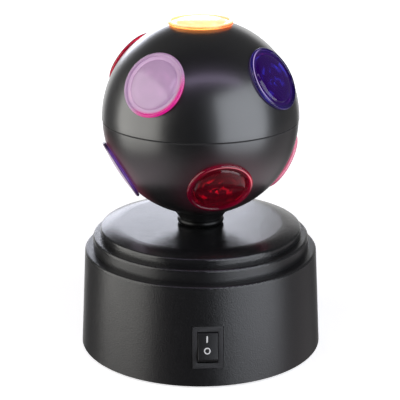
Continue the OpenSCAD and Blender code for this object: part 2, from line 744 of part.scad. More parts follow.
module motor_can() color("#b4b7ba") translate(pinion_at) rotate(pinion_dir) {
    intersection() {
        translate([0, 0, chassis_bot - gearbox_h - motor_h]) cylinder(d = gearbox_w, h = motor_h);
        translate([-gearbox_d / 2, -gearbox_w / 2, chassis_bot - gearbox_h - motor_h])
            cube([gearbox_d, gearbox_w, motor_h]);
    }
    translate([0, 0, motor_end]) cylinder(d = gearbox_d - 2, h = motor_cap_h + 0.1);
}

module gearbox_screws() color("silver") translate(pinion_at) rotate(pinion_dir) for (s = [-1, 1])
    translate([0, s * gearbox_pitch / 2, chassis_top]) mirror([0, 0, 1])
        screw(small_screw_d, chassis_t + small_bite, small_screw_d * 1.9, small_screw_d * 0.7);

module motor_shaft() color("#d8dadc") translate(pinion_at) translate([0, 0, chassis_bot - gearbox_h + 1.5])
    cylinder(d = shaft_d, h = gear_top + pinion_over + 0.4 - chassis_bot + gearbox_h - 1.5);

module pinion() color("#e8e6df") translate(pinion_at) rotate(pinion_dir + 180 + 180 / pinion_teeth)
    translate([0, 0, gear_bot - pinion_over]) difference() {
        linear_extrude(gear_w + 2 * pinion_over) polygon(gear_outline(pinion_teeth));
        translate([0, 0, -1]) cylinder(r = shaft_d / 2 + run_fit, h = gear_w + 2 * pinion_over + 2);
    }

module neck_bush() color("#dedbd0") rotate_extrude() difference() {
    union() {
        translate([0, bush_bot]) square([bush_d / 2, bush_l]);
        translate([0, bush_top - bush_flange_t]) square([bush_flange_d / 2, bush_flange_t]);
    }
    translate([-1, bush_bot - 1]) square([1 + spindle_d / 2 + run_fit, bush_l + 2]);
}

module lamp_post() color("#a9adb0") rotate_extrude() difference() {
    union() {
        translate([0, chassis_bot - post_tail]) square([post_d / 2, post_top - chassis_bot + post_tail]);
        translate([0, chassis_top]) square([post_flange_d / 2, post_flange_t]);
    }
    translate([-1, chassis_bot - post_tail - 1])
        square([1 + post_bore / 2, post_top - chassis_bot + post_tail + 2]);
}

module post_nut() color("#c0b27a") translate([0, 0, chassis_bot - post_nut_h]) difference() {
    cylinder(d = post_nut_d, h = post_nut_h, $fn = 6);
    translate([0, 0, -1]) cylinder(r = post_d / 2 + run_fit, h = post_nut_h + 2);
}

module lamp_block() color("#d9d9d6") difference() {
    translate([0, 0, block_bot]) cylinder(d = block_d, h = block_h, $fn = 6);
    translate([0, 0, block_bot - 1]) cylinder(r = post_d / 2 + run_fit, h = block_socket + 1);
}

module led() {
    translate([-led_w / 2, -led_w / 2, 0]) cube([led_w, led_w, led_h - 0.4]);
    cylinder(d = led_lens_d, h = led_h);
}

module leds() color("#fff3c4") {
    translate([0, 0, block_bot + block_h]) led();
    for (a = [30:60:330]) rotate(a)
        translate([face_at, 0, block_bot + block_h * 0.62]) rotate([0, 90, 0]) led();
}

// Route points of the inner leads
tag_z = bay_roof + tag_h * 0.6;
tag_x = bay_l / 2;
tab_end = switch_r - (recess_sink + barrel_l + tab_l) * cos(switch_tip);
tab_up = tab_pitch / 2 * cos(switch_tip);
tab_in = tab_pitch / 2 * sin(switch_tip);
tab_mid = switch_z - (recess_sink + barrel_l + tab_l) * sin(switch_tip);
top_tab = [0, tab_in - tab_end, tab_mid + tab_up];
low_tab = [0, -tab_in - tab_end, tab_mid - tab_up];
motor_foot = pinion_at + [0, 0, motor_end];
motor_under = pinion_at + [0, 0, (z0 + plate_t + motor_end) / 2];
tab_way = [0, cos(switch_tip), -sin(switch_tip)];
solder = 0.1;
lead_routes = [
    [[tag_x + solder, cell_ys[0], tag_z], [tag_x + 3, cell_ys[0], tag_z],
     [tag_x + 5.2, bay_front + 1, bay_roof + 2], [tag_x + 1, bay_front - 13, bay_roof + 4],
     top_tab + [12, 8, 6], top_tab + 4 * tab_way, top_tab + solder * tab_way],
    [low_tab + solder * tab_way, low_tab + 4 * tab_way, low_tab + [-6, 10, -2.3],
     motor_under + [6, -4, 0], motor_under + [2, -2, 0], motor_foot + [2, -2, -solder]],
    [[-tag_x - solder, cell_ys[2], tag_z], [-tag_x - 3, cell_ys[2], tag_z],
     [-tag_x - 7.2, bay_y + 6, bay_roof], [-tag_x - 10, bay_y - 12, bay_roof - 5.8],
     motor_under + [-13, 8, 0], motor_under + [-2, 2, 0], motor_foot + [-2, 2, -solder]]
];
pinion_way = unit(pinion_at);
lamp_side = 1.13 * [-pinion_way[1], pinion_way[0], 0];
lamp_in = -2.26 * pinion_way;
lamp_route = [
    [0, 0, post_top - solder], [0, 0, ball_z - 0.6 * low_r], [0, 0, chassis_bot - post_tail],
    0.2 * pinion_at + [0, 0, chassis_bot - post_tail - 5.1], 0.53 * pinion_at + [0, 0, bay_roof + 2.2],
    0.66 * pinion_at + [0, 0, motor_end + 1.1], motor_under - 7 * pinion_way,
    motor_under + lamp_in, motor_foot + lamp_in - [0, 0, solder]
];

module leads() color("#a03028") {
    for (r = lead_routes) tube(route(r, 5), lead_d, 8);
    for (w = [-1, 1]) tube([for (q = route(lamp_route, 4)) q + w * lamp_side], lamp_lead_d, 8);
}

// Ball

module seam_half(r_out) {
    difference() {
        circle(r_out);
        circle(in_r);
        translate([-r_out - 1, -r_out - 1]) square([r_out + 1, 2 * r_out + 2]);
    }
}

// Bore and flat seat for one lens in a shell of radius r
module lens_cut(r) {
    cylinder(r = bore_r, h = r + 10);
    translate([0, 0, seat_of(r)]) cylinder(r = lens_r + 2, h = 20);
}

module upper_shell() color("#0c0c0e") difference() {
    translate([0, 0, ball_z]) rotate_extrude() difference() {
        seam_half(ball_r);
        translate([-1, -ball_r - 1]) square([ball_r + 3, ball_r + 1 + seam_gap]);
        translate([-1, 0]) square([1 + in_r + tongue_t + push_fit, tongue_h]);
        translate([-1, 0]) square([1 + bore_r, ball_r + 2]);
        translate([-1, seat_of(ball_r)]) square([lens_r + 3, 20]);
    }
    for (k = [0:3]) on_ball(90 * k, lens_lat) lens_cut(ball_r);
}

module neck_outline() {
    polygon([
        [spigot_d / 2 + run_fit, collar_top - ball_z], [waist_r, collar_top - ball_z],
        [waist_r + flare_out, -sqrt(pow(low_r, 2) - pow(waist_r + flare_out, 2)) + 0.4],
        [waist_r + flare_out, land_z - ball_z], [spigot_d / 2 + run_fit, land_z - ball_z]
    ]);
}

module lower_shell() color("#0e0e10") difference() {
    translate([0, 0, ball_z]) rotate_extrude() difference() {
        union() {
            difference() {
                seam_half(low_r);
                translate([-1, 0]) square([low_r + 3, low_r + 2]);
            }
            translate([in_r, -2]) square([tongue_t, 2 + tongue_h]);
            neck_outline();
        }
        translate([-1, -ball_r - 20]) square([1 + spigot_d / 2 + run_fit, ball_r + 20]);
    }
    for (k = [0:3]) on_ball(90 * k + lens_stagger, -lens_lat) lens_cut(low_r);
}

module spindle() color("#19191b") difference() {
    rotate_extrude() difference() {
        union() {
            translate([0, spindle_bot]) square([spindle_d / 2, collar_z + 1 - spindle_bot]);
            translate([0, collar_z]) square([collar_r - collar_h / 2, collar_h]);
            translate([collar_r - collar_h / 2, collar_z + collar_h / 2]) circle(collar_h / 2);
            translate([0, collar_top - 1]) square([spigot_d / 2, nut_top + 1.6 - collar_top]);
        }
        translate([-1, spindle_bot - 1]) square([1 + spindle_bore / 2, nut_top - spindle_bot + 5]);
        translate([spindle_d / 2 - groove_in, clip_top - clip_t - 2 * clip_slack])
            square([groove_in + 1, clip_t + 2 * clip_slack]);
    }
    for (s = [-1, 1]) translate([s * (flats_w / 2 + 5) - 5, -10, spindle_bot - 1])
        cube([10, 20, hub_top - spindle_bot + 1]);
}

module ring_nut() color("#3a3a3d") translate([0, 0, land_z]) difference() {
    cylinder(r = spigot_d / 2 + ring_nut_t, h = ring_nut_h);
    translate([0, 0, -1]) cylinder(r = spigot_d / 2 + run_fit, h = ring_nut_h + 2);
    ring_of(4, spigot_d / 2 + ring_nut_t) translate([-1.2, -1.5, -1]) cube([4, 3, ring_nut_h + 2]);
}

module drive_gear() color("#e4e1d6") difference() {
    union() {
        translate([0, 0, gear_bot]) rotate(pinion_dir)
            linear_extrude(gear_w) polygon(gear_outline(gear_teeth));
        translate([0, 0, gear_top - 1]) cylinder(d = hub_d, h = hub_h + 1);
    }
    translate([0, 0, gear_bot - 1]) intersection() {
        cylinder(r = spindle_d / 2 + run_fit, h = gear_w + hub_h + 2);
        translate([-flats_w / 2 - run_fit, -spindle_d, 0])
            cube([flats_w + 2 * run_fit, 2 * spindle_d, gear_w + hub_h + 2]);
    }
    ring_of(6, (hub_d / 2 + gear_pr - dedendum * gear_m) / 2)
        translate([0, 0, gear_bot - 1])
            cylinder(d = gear_pr - dedendum * gear_m - hub_d / 2 - 4, h = gear_w + 2);
}

module gear_clip() color("silver") translate([0, 0, clip_top - clip_t - clip_slack]) difference() {
    cylinder(d = clip_d, h = clip_t);
    translate([0, 0, -1]) cylinder(r = spindle_d / 2 - groove_in + run_fit, h = clip_t + 2);
    translate([-clip_open / 2, -clip_d, -1]) cube([clip_open, clip_d, clip_t + 2]);
}

// Lenses

module lens_profile() {
    rim_r = lens_rim_t / 2;
    crown_r = lens_crown_d / 2;
    cap_r = (pow(crown_r, 2) + pow(lens_crown_h, 2)) / (2 * lens_crown_h);
    face_r = plug_r - lens_plug_t;
    rings = floor(face_r / lens_prism_w);
    translate([lens_r - rim_r, lens_stand + rim_r]) circle(rim_r);
    translate([crown_r - 1, 0]) square([lens_r - rim_r - crown_r + 1 - 0.3, lens_web_h]);
    square([crown_r, lens_web_h]);
    intersection() {
        translate([0, lens_web_h + lens_crown_h - cap_r]) circle(cap_r);
        translate([0, 0.5]) square([crown_r, lens_web_h + lens_crown_h]);
    }
    translate([plug_r - lens_plug_t, -lens_plug_h]) square([lens_plug_t, lens_plug_h + 0.5]);
    polygon(concat(
        [[0, 0.3]],
        [for (i = [0:rings - 1], h = [0, 1]) [lens_prism_w * (i + h * 0.5), h == 0 ? 0 : -lens_prism_h]],
        [[lens_prism_w * rings, 0], [lens_prism_w * rings, 0.3]]
    ));
}

module lens() {
    rotate_extrude() lens_profile();
}

module upper_lens(k) {
    on_ball(90 * k, lens_lat) translate([0, 0, seat_of(ball_r)]) lens();
}

module lower_lens(k) {
    on_ball(90 * k + lens_stagger, -lens_lat) translate([0, 0, seat_of(low_r)]) lens();
}

module pole_lens() color("#ff9a1e") translate([0, 0, ball_z + seat_of(ball_r)]) lens();
module upper_lens_front() color("#ff6ab8") upper_lens(0);
module upper_lens_right() color("#2a2ad0") upper_lens(1);
module upper_lens_back() color("#ff9a1e") upper_lens(2);
module upper_lens_left() color("#d01228") upper_lens(3);
module lower_lens_front() color("#c0102a") lower_lens(0);
module lower_lens_right() color("#e0306a") lower_lens(1);
module lower_lens_back() color("#2a2ad0") lower_lens(2);
module lower_lens_left() color("#7a2ac8") lower_lens(3);

base_housing();
base_plate();
feet();
base_screws();
battery_door();
battery_door_screw();
battery_cells();
contact_plates();
contact_springs();
switch_body();
switch_terminals();
switch_rocker();
chassis_plate();
chassis_screws();
gearbox();
motor_can();
gearbox_screws();
motor_shaft();
pinion();
neck_bush();
lamp_post();
post_nut();
lamp_block();
leds();
leads();
upper_shell();
lower_shell();
spindle();
ring_nut();
drive_gear();
gear_clip();
pole_lens();
upper_lens_front();
upper_lens_right();
upper_lens_back();
upper_lens_left();
lower_lens_front();
lower_lens_right();
lower_lens_back();
lower_lens_left();
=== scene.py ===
"""Looks of a rotating disco ball light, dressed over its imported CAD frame.

The lamp is a split black ball with nine coloured lenses on a stepped drum base.
All lengths are metres in the frame of the CAD part: +Z up, front towards -Y.
"""

from __future__ import annotations

import logging
import math
from dataclasses import dataclass, replace
from enum import Enum
from typing import ClassVar, Sequence

import bmesh
import bpy
from mathutils import Matrix, Vector


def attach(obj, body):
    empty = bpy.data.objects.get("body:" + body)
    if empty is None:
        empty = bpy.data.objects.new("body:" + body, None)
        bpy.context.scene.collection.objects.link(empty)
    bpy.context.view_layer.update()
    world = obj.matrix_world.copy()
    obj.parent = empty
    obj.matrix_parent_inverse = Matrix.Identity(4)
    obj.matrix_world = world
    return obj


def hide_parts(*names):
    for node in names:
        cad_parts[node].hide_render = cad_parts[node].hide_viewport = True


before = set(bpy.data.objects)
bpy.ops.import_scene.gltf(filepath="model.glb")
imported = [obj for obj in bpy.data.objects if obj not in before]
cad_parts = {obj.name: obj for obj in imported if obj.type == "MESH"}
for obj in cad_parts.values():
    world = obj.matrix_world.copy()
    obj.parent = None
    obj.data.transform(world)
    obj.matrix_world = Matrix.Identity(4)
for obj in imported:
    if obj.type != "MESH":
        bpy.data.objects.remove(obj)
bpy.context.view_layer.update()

LOG = logging.getLogger("disco_ball_light")
MM = 0.001
LENS_RADIUS = 16.35 * MM

Colour = tuple[float, float, float]
Point = tuple[float, float]
# Input range of a smooth step, then its output at both ends if that isn't 0 and 1
Ramp = tuple[float, ...]
Form = bmesh.types.BMesh
Ring = list[bmesh.types.BMVert]
Piece = bpy.types.Object
Material = bpy.types.Material
Node = bpy.types.Node
Socket = bpy.types.NodeSocket
Sockets = dict[str, Socket]


class Slot(Enum):
    """Material slots of the part's record."""

    HOUSING = "housing"
    UNDERSIDE = "underside"
    RUBBER = "rubber"
    STEEL = "steel"
    CELL = "cell"
    CONTACT = "contact"
    SWITCH_FRAME = "switch_frame"
    SWITCH_ROCKER = "switch_rocker"
    TERMINAL = "terminal"
    CHASSIS = "chassis"
    GEARBOX = "gearbox"
    MOTOR = "motor"
    GEAR = "gear"
    BUSH = "bush"
    POST = "post"
    NUT = "nut"
    LED = "led"
    LEAD = "lead"
    BALL_SHELL = "ball_shell"
    SPINDLE = "spindle"
    LENS_AMBER = "lens_amber"
    LENS_PINK = "lens_pink"
    LENS_BLUE = "lens_blue"
    LENS_RED = "lens_red"
    LENS_ROSE = "lens_rose"
    LENS_VIOLET = "lens_violet"


class Body(Enum):
    """Moving bodies that new pieces ride on."""

    BASE = "base"
    BALL = "ball"
    ROCKER = "rocker"


# ---- shader tools


class Tree:
    """Places nodes in one shader tree and links them."""

    def __init__(self, tree: bpy.types.NodeTree) -> None:
        """Keeps the tree that the nodes go into."""
        self.tree = tree

    @classmethod
    def blank(cls, owner: Material | bpy.types.World) -> Tree:
        """Empties the shader tree of a material or world.

        Args:
            owner: the material or world.

        Returns:
            Its tree, without nodes.
        """
        owner.use_nodes = True
        owner.node_tree.nodes.clear()
        return cls(owner.node_tree)

    def add(self, kind: str, **settings: object) -> Node:
        """Adds a node.

        Args:
            kind: Blender's type name of the node, without its ShaderNode prefix.
            settings: attributes to set on the new node.

        Returns:
            The new node.
        """
        prefix = "" if kind.startswith("Node") else "ShaderNode"
        node = self.tree.nodes.new(prefix + kind)
        for name, value in settings.items():
            setattr(node, name, value)
        return node

    def feed(self, target: Socket, value: object) -> None:
        """Links a socket, or sets its value.

        Args:
            target: the input socket.
            value: an output socket, or a number, colour or vector.
        """
        if isinstance(value, Socket):
            self.tree.links.new(value, target)
        elif target.type == "RGBA" and len(value) == 3:
            target.default_value = (*value, 1.0)
        else:
            target.default_value = value

    def fill(self, node: Node, values: dict[str | int, object]) -> None:
        """Links or sets inputs of a node.

        Args:
            node: the node.
            values: sockets, numbers or colours by the input's name or number.
        """
        for name, value in values.items():
            self.feed(node.inputs[name], value)

    def math(self, operation: str, *values: object, clamp: bool = False) -> Socket:
        """Adds a Math node.

        Args:
            operation: the node's operation.
            values: its inputs, sockets or numbers.
            clamp: keeps the result between 0 and 1.

        Returns:
            The result socket.
        """
        node = self.add("Math", operation=operation, use_clamp=clamp)
        self.fill(node, dict(enumerate(values)))
        return node.outputs[0]

    def times(self, first: object, second: object) -> Socket:
        """Multiplies two values."""
        return self.math("MULTIPLY", first, second)

    def span(
            self, value: Socket, low: float, high: float,
            start: float = 0.0, end: float = 1.0) -> Socket:
        """Maps a value smoothly from one range to another.

        Args:
            value: the socket to map.
            low: start of the input range.
            high: end of the input range.
            start: output at low.
            end: output at high.

        Returns:
            The mapped socket.
        """
        node = self.add("MapRange", interpolation_type="SMOOTHSTEP")
        self.fill(node, dict(enumerate((value, low, high, start, end))))
        return node.outputs[0]

    def swing(self, middle: Socket, cloud: Socket, spread: Socket) -> Socket:
        """Swings a value up and down with a cloud.

        Args:
            middle: the value to swing.
            cloud: a noise value.
            spread: how far the value swings.

        Returns:
            The swung value, between 0 and 1.
        """
        step = self.times(self.math("SUBTRACT", cloud, 0.5), spread)
        return self.math("ADD", middle, step, clamp=True)

    def mix(self, share: object, first: object, second: object) -> Socket:
        """Mixes two colours.

        Args:
            share: how much of the second colour shows.
            first: the first colour.
            second: the second colour.

        Returns:
            The mixed colour socket.
        """
        node = self.add("Mix", data_type="RGBA", clamp_factor=True)
        self.fill(node, {0: share, 6: first, 7: second})
        return node.outputs[2]

    def noise(self, vector: Socket, scale: object, detail: float = 3.0) -> Socket:
        """Adds fractal noise.

        Args:
            vector: texture coordinate.
            scale: noise scale, per metre.
            detail: number of octaves.

        Returns:
            The noise value.
        """
        node = self.add("TexNoise")
        self.fill(node, {"Vector": vector, "Scale": scale, "Detail": detail})
        return node.outputs["Fac"]

    def place(self) -> Socket:
        """Returns the surface point in the piece's own frame."""
        return self.add("TexCoord").outputs["Object"]

    def axes(self, vector: Socket) -> list[Socket]:
        """Splits a vector.

        Args:
            vector: the vector socket.

        Returns:
            Its X, Y and Z sockets.
        """
        node = self.add("SeparateXYZ")
        self.feed(node.inputs[0], vector)
        return list(node.outputs)


class Effect:
    """A shader node group, built once and placed in each material that uses it."""

    name: ClassVar[str]
    inputs: ClassVar[dict[str, float]]
    outputs: ClassVar[tuple[str, ...]]

    @classmethod
    def wire(cls, tree: Tree, given: Sockets) -> Sockets:
        """Makes the group's nodes.

        Args:
            tree: the group's tree.
            given: its inputs by name.

        Returns:
            Its outputs by name.
        """
        raise NotImplementedError

    @classmethod
    def group(cls) -> bpy.types.NodeTree:
        """Finds the node group, or builds it the first time.

        Returns:
            The node group.
        """
        ready = bpy.data.node_groups.get(cls.name)
        if ready:
            return ready
        group = bpy.data.node_groups.new(cls.name, "ShaderNodeTree")
        kind = "NodeSocketFloat"
        for label, default in cls.inputs.items():
            socket = group.interface.new_socket(label, in_out="INPUT", socket_type=kind)
            socket.default_value = default
        for label in cls.outputs:
            group.interface.new_socket(label, in_out="OUTPUT", socket_type=kind)
        tree = Tree(group)
        start, end = tree.add("NodeGroupInput"), tree.add("NodeGroupOutput")
        given = {label: start.outputs[label] for label in cls.inputs}
        tree.fill(end, cls.wire(tree, given))
        return group

    @classmethod
    def use(cls, tree: Tree, **values: object) -> Sockets:
        """Places the group in a material.

        Args:
            tree: the material's tree.
            values: the group's inputs by name.

        Returns:
            The group's outputs by name.
        """
        node = tree.add("Group")
        node.node_tree = cls.group()
        tree.fill(node, values)
        return {socket.name: socket for socket in node.outputs}


class Grain(Effect):
    """The fine eroded grain of a moulded surface."""

    name = "moulded_grain"
    inputs = {"Scale": 1500.0}
    outputs = ("Height", "Speck")
    softness: ClassVar[float] = 0.6
    pit_share: ClassVar[float] = 0.7
    cloud_step: ClassVar[float] = 0.55
    speck_step: ClassVar[float] = 0.23
    speck_ramp: ClassVar[Ramp] = (0.6, 0.78)

    @classmethod
    def wire(cls, tree: Tree, given: Sockets) -> Sockets:
        """Wires soft pits over a cloud, and scattered specks.

        Args:
            tree: the group's tree.
            given: its inputs by name.

        Returns:
            Its outputs by name.
        """
        place = tree.place()
        pits = tree.add("TexVoronoi", feature="SMOOTH_F1")
        scale = given["Scale"]
        tree.fill(pits, {"Vector": place, "Scale": scale, "Smoothness": cls.softness})
        cloud = tree.noise(place, tree.times(scale, cls.cloud_step), 4.0)
        height = tree.math("MULTIPLY_ADD", pits.outputs["Distance"], cls.pit_share, cloud)
        specks = tree.noise(place, tree.times(scale, cls.speck_step), 2.0)
        return {"Height": height, "Speck": tree.span(specks, *cls.speck_ramp)}


class Handling(Effect):
    """Cloudy gloss changes from handling, and dust that has settled on top."""

    name = "handling"
    inputs = {"Roughness": 0.4, "Spread": 0.1, "Scale": 60.0}
    outputs = ("Roughness", "Dust")
    mote_scale: ClassVar[float] = 2600.0
    mote_ramp: ClassVar[Ramp] = (0.70, 0.76)
    up_ramp: ClassVar[Ramp] = (0.3, 0.95)

    @classmethod
    def wire(cls, tree: Tree, given: Sockets) -> Sockets:
        """Wires a cloud into the roughness, and motes where the surface faces up.

        Args:
            tree: the group's tree.
            given: its inputs by name.

        Returns:
            Its outputs by name.
        """
        place = tree.place()
        cloud = tree.noise(place, given["Scale"], 4.0)
        rough = tree.swing(given["Roughness"], cloud, given["Spread"])
        up = tree.axes(tree.add("NewGeometry").outputs["Normal"])[2]
        motes = tree.span(tree.noise(place, cls.mote_scale, 1.0), *cls.mote_ramp)
        return {"Roughness": rough, "Dust": tree.times(motes, tree.span(up, *cls.up_ramp))}


class LevelBand(Effect):
    """A band round one height, for rubbed edges and the ball's seam."""

    name = "level_band"
    inputs = {"Level": 0.05, "Reach": 0.001}
    outputs = ("Mask", "Above")
    fade: ClassVar[float] = 6.0 * MM

    @classmethod
    def wire(cls, tree: Tree, given: Sockets) -> Sockets:
        """Wires the band from the distance to the level, and a soft mask above it.

        Args:
            tree: the group's tree.
            given: its inputs by name.

        Returns:
            Its outputs by name.
        """
        rise = tree.math("SUBTRACT", tree.axes(tree.place())[2], given["Level"])
        share = tree.math("DIVIDE", tree.math("ABSOLUTE", rise), given["Reach"])
        band = tree.math("SUBTRACT", 1.0, share, clamp=True)
        return {"Mask": band, "Above": tree.span(rise, -cls.fade, cls.fade)}


class Brushing(Effect):
    """The fine drawn lines of sheet and turned metal."""

    name = "brushing"
    inputs = {"Roughness": 0.3, "Spread": 0.25, "Scale": 220.0}
    outputs = ("Roughness", "Height")
    drawn: ClassVar[float] = 24.0

    @classmethod
    def wire(cls, tree: Tree, given: Sockets) -> Sockets:
        """Wires noise that is drawn out into lines.

        Args:
            tree: the group's tree.
            given: its inputs by name.

        Returns:
            Its outputs by name.
        """
        stretch = tree.add("Mapping")
        tree.fill(stretch, {"Vector": tree.place(), "Scale": (1.0, 1.0, cls.drawn)})
        lines = tree.noise(stretch.outputs[0], given["Scale"], 2.0)
        rough = tree.swing(given["Roughness"], lines, given["Spread"])
        return {"Roughness": rough, "Height": lines}


class LensPolar(Effect):
    """Where a point lies on a lens, as shares of the lens radius."""

    name = "lens_polar"
    inputs = {"Reach": LENS_RADIUS, "Side": 0.0}
    outputs = ("Radius", "Side", "Height")

    @classmethod
    def wire(cls, tree: Tree, given: Sockets) -> Sockets:
        """Wires the distance from the axis, along one direction, and above the seat.

        Args:
            tree: the group's tree.
            given: its inputs by name.

        Returns:
            Its outputs by name.
        """
        x, y, z = tree.axes(tree.place())
        square = tree.math("ADD", tree.times(x, x), tree.times(y, y))
        down = tree.times(x, tree.math("COSINE", given["Side"]))
        along = tree.math("ADD", down, tree.times(y, tree.math("SINE", given["Side"])))
        made = {"Radius": tree.math("SQRT", square), "Side": along, "Height": z}
        return {name: tree.math("DIVIDE", s, given["Reach"]) for name, s in made.items()}


class Halo(Effect):
    """Light that a lens spills on the shell round it."""

    name = "lens_halo"
    inputs = {"X": 0.0, "Y": 0.0, "Z": 0.0}
    outputs = ("Mask",)
    near: ClassVar[float] = 15.5 * MM
    far: ClassVar[float] = 32.0 * MM

    @classmethod
    def wire(cls, tree: Tree, given: Sockets) -> Sockets:
        """Wires a mask that fades with the distance from the lens.

        Args:
            tree: the group's tree.
            given: its inputs by name.

        Returns:
            Its outputs by name.
        """
        total: object = 0.0
        for socket, axis in zip(tree.axes(tree.place()), "XYZ"):
            off = tree.math("SUBTRACT", socket, given[axis])
            total = tree.math("ADD", total, tree.times(off, off))
        away = tree.math("SQRT", total)
        fade = tree.span(away, cls.near, cls.far, 1.0, 0.0)
        return {"Mask": tree.times(fade, fade)}


class Swirl(Effect):
    """Curved streaks of light that run round a lens's axis."""

    name = "lens_swirl"
    inputs = {"Reach": LENS_RADIUS, "Round": 1.1, "Across": 4.5}
    outputs = ("Mask",)
    least: ClassVar[float] = 1e-9
    streak_ramp: ClassVar[Ramp] = (0.46, 0.66)

    @classmethod
    def wire(cls, tree: Tree, given: Sockets) -> Sockets:
        """Wires noise that is slow round the axis and quick away from it.

        Args:
            tree: the group's tree.
            given: its inputs by name.

        Returns:
            Its outputs by name.
        """
        x, y, _ = tree.axes(tree.place())
        square = tree.math("ADD", tree.times(x, x), tree.times(y, y))
        far = tree.math("SQRT", tree.math("MAXIMUM", square, cls.least))
        share = tree.math("DIVIDE", given["Round"], far)
        depth = tree.times(tree.math("DIVIDE", far, given["Reach"]), given["Across"])
        curl = tree.add("CombineXYZ")
        tree.fill(curl, {"X": tree.times(x, share), "Y": tree.times(y, share), "Z": depth})
        streaks = tree.noise(curl.outputs[0], 1.0, 2.0)
        return {"Mask": tree.span(streaks, *cls.streak_ramp)}


def new_material(name: str) -> tuple[Material, Tree, Node]:
    """Makes an empty material with one Principled shader.

    Args:
        name: the material's name.

    Returns:
        The material, its tree and the shader node.
    """
    material = bpy.data.materials.new(name)
    tree = Tree.blank(material)
    shader = tree.add("BsdfPrincipled")
    tree.feed(tree.add("OutputMaterial").inputs["Surface"], shader.outputs[0])
    return material, tree, shader


def add_bump(tree: Tree, shader: Node, height: Socket, depth: float) -> None:
    """Puts a bump under a shader.

    Args:
        tree: the material's tree.
        shader: the Principled node.
        height: height mask, from 0 to about 1.
        depth: height in metres that 1 stands for.
    """
    bump = tree.add("Bump")
    tree.fill(bump, {"Strength": 1.0, "Distance": depth, "Height": height})
    tree.feed(shader.inputs["Normal"], bump.outputs[0])


def shaded(colour: Colour, share: float) -> Colour:
    """Returns a colour at a share of its brightness."""
    return tuple(c * share for c in colour)


# ---- finishes


@dataclass(frozen=True)
class Plastic:
    """A moulded plastic, from a gloss shell to an eroded satin."""

    colour: Colour
    roughness: float = 0.4
    grain_scale: float = 1500.0
    grain_depth: float = 0.00002
    specular: float = 0.5
    coat: float = 0.0
    fleck: float = 0.25
    dust: float = 0.0
    spread: float = 0.1
    levels: tuple[float, ...] = ()
    seam: float | None = None
    polish: float | None = None
    # Lens places and the colours of the light painted round them on the surface as emission
    spill: tuple[tuple[Vector, Colour], ...] = ()
    cloud_scale: ClassVar[float] = 55.0
    fleck_gain: ClassVar[float] = 1.5
    fleck_lift: ClassVar[float] = 0.004
    rub_share: ClassVar[float] = 0.5
    rub_gloss: ClassVar[float] = 0.08
    rub_reach: ClassVar[float] = 0.9 * MM
    polish_gain: ClassVar[float] = 0.15
    polish_pits: ClassVar[float] = 0.8
    seam_reach: ClassVar[float] = 0.55 * MM
    coat_below: ClassVar[float] = 0.2
    dust_colour: ClassVar[Colour] = (0.30, 0.30, 0.31)
    coat_roughness: ClassVar[float] = 0.24

    def material(self, name: str) -> Material:
        """Makes the material.

        Args:
            name: its name.

        Returns:
            The finished material.
        """
        material, tree, shader = new_material(name)
        grain = Grain.use(tree, Scale=self.grain_scale)
        hand = Handling.use(
            tree, Roughness=self.roughness, Spread=self.spread, Scale=self.cloud_scale)
        light = tuple(min(1.0, c * self.fleck_gain + self.fleck_lift) for c in self.colour)
        colour = tree.mix(tree.times(grain["Speck"], self.fleck), self.colour, light)
        rough, pits = hand["Roughness"], grain["Height"]
        for level in self.levels:
            rub = LevelBand.use(tree, Level=level, Reach=self.rub_reach)["Mask"]
            colour = tree.mix(tree.times(rub, self.rub_share), colour, light)
            rough = tree.math("SUBTRACT", rough, tree.times(rub, self.rub_gloss), clamp=True)
        if self.polish is not None:
            above = LevelBand.use(tree, Level=self.polish)["Above"]
            rough = tree.math("SUBTRACT", rough, tree.times(above, self.polish_gain))
            pits = tree.times(pits, tree.span(above, 0.0, 1.0, 1.0, self.polish_pits))
        coat: object = self.coat
        if self.seam is not None:
            joint = LevelBand.use(tree, Level=self.seam, Reach=self.seam_reach)
            rough = tree.math("ADD", rough, joint["Mask"], clamp=True)
            half = tree.span(joint["Above"], 0.0, 1.0, self.coat * self.coat_below, self.coat)
            coat = tree.times(tree.math("SUBTRACT", 1.0, joint["Mask"]), half)
        if self.dust:
            colour = tree.mix(tree.times(hand["Dust"], self.dust), colour, self.dust_colour)
        tree.fill(shader, {
            "Base Color": colour, "Roughness": rough, "Specular IOR Level": self.specular,
            "Coat Weight": coat, "Coat Roughness": self.coat_roughness})
        add_bump(tree, shader, pits, self.grain_depth)
        # Painted light: the lenses' light spilling on the shell is painted into it as emission
        # round each lens
        if self.spill:
            glow: object = (0.0, 0.0, 0.0)
            for place, tint in self.spill:
                mask = Halo.use(tree, X=place.x, Y=place.y, Z=place.z)["Mask"]
                glow = tree.mix(mask, glow, tint)
            tree.fill(shader, {"Emission Color": glow, "Emission Strength": 1.0})
        return material


@dataclass(frozen=True)
class Metal:
    """A bare or plated metal with drawn lines."""

    colour: Colour
    roughness: float = 0.3
    spread: float = 0.25
    line_scale: float = 220.0
    line_depth: float = 0.000004
    stain_scale: ClassVar[float] = 180.0
    stain_ramp: ClassVar[Ramp] = (0.42, 0.7)
    stain_share: ClassVar[float] = 0.72

    def material(self, name: str) -> Material:
        """Makes the material.

        Args:
            name: its name.

        Returns:
            The finished material.
        """
        material, tree, shader = new_material(name)
        lines = Brushing.use(
            tree, Roughness=self.roughness, Spread=self.spread, Scale=self.line_scale)
        cloud = tree.noise(tree.place(), self.stain_scale, 4.0)
        dull = shaded(self.colour, self.stain_share)
        colour = tree.mix(tree.span(cloud, *self.stain_ramp), self.colour, dull)
        tree.fill(shader, {
            "Base Color": colour, "Roughness": lines["Roughness"], "Metallic": 1.0})
        add_bump(tree, shader, lines["Height"], self.line_depth)
        return material


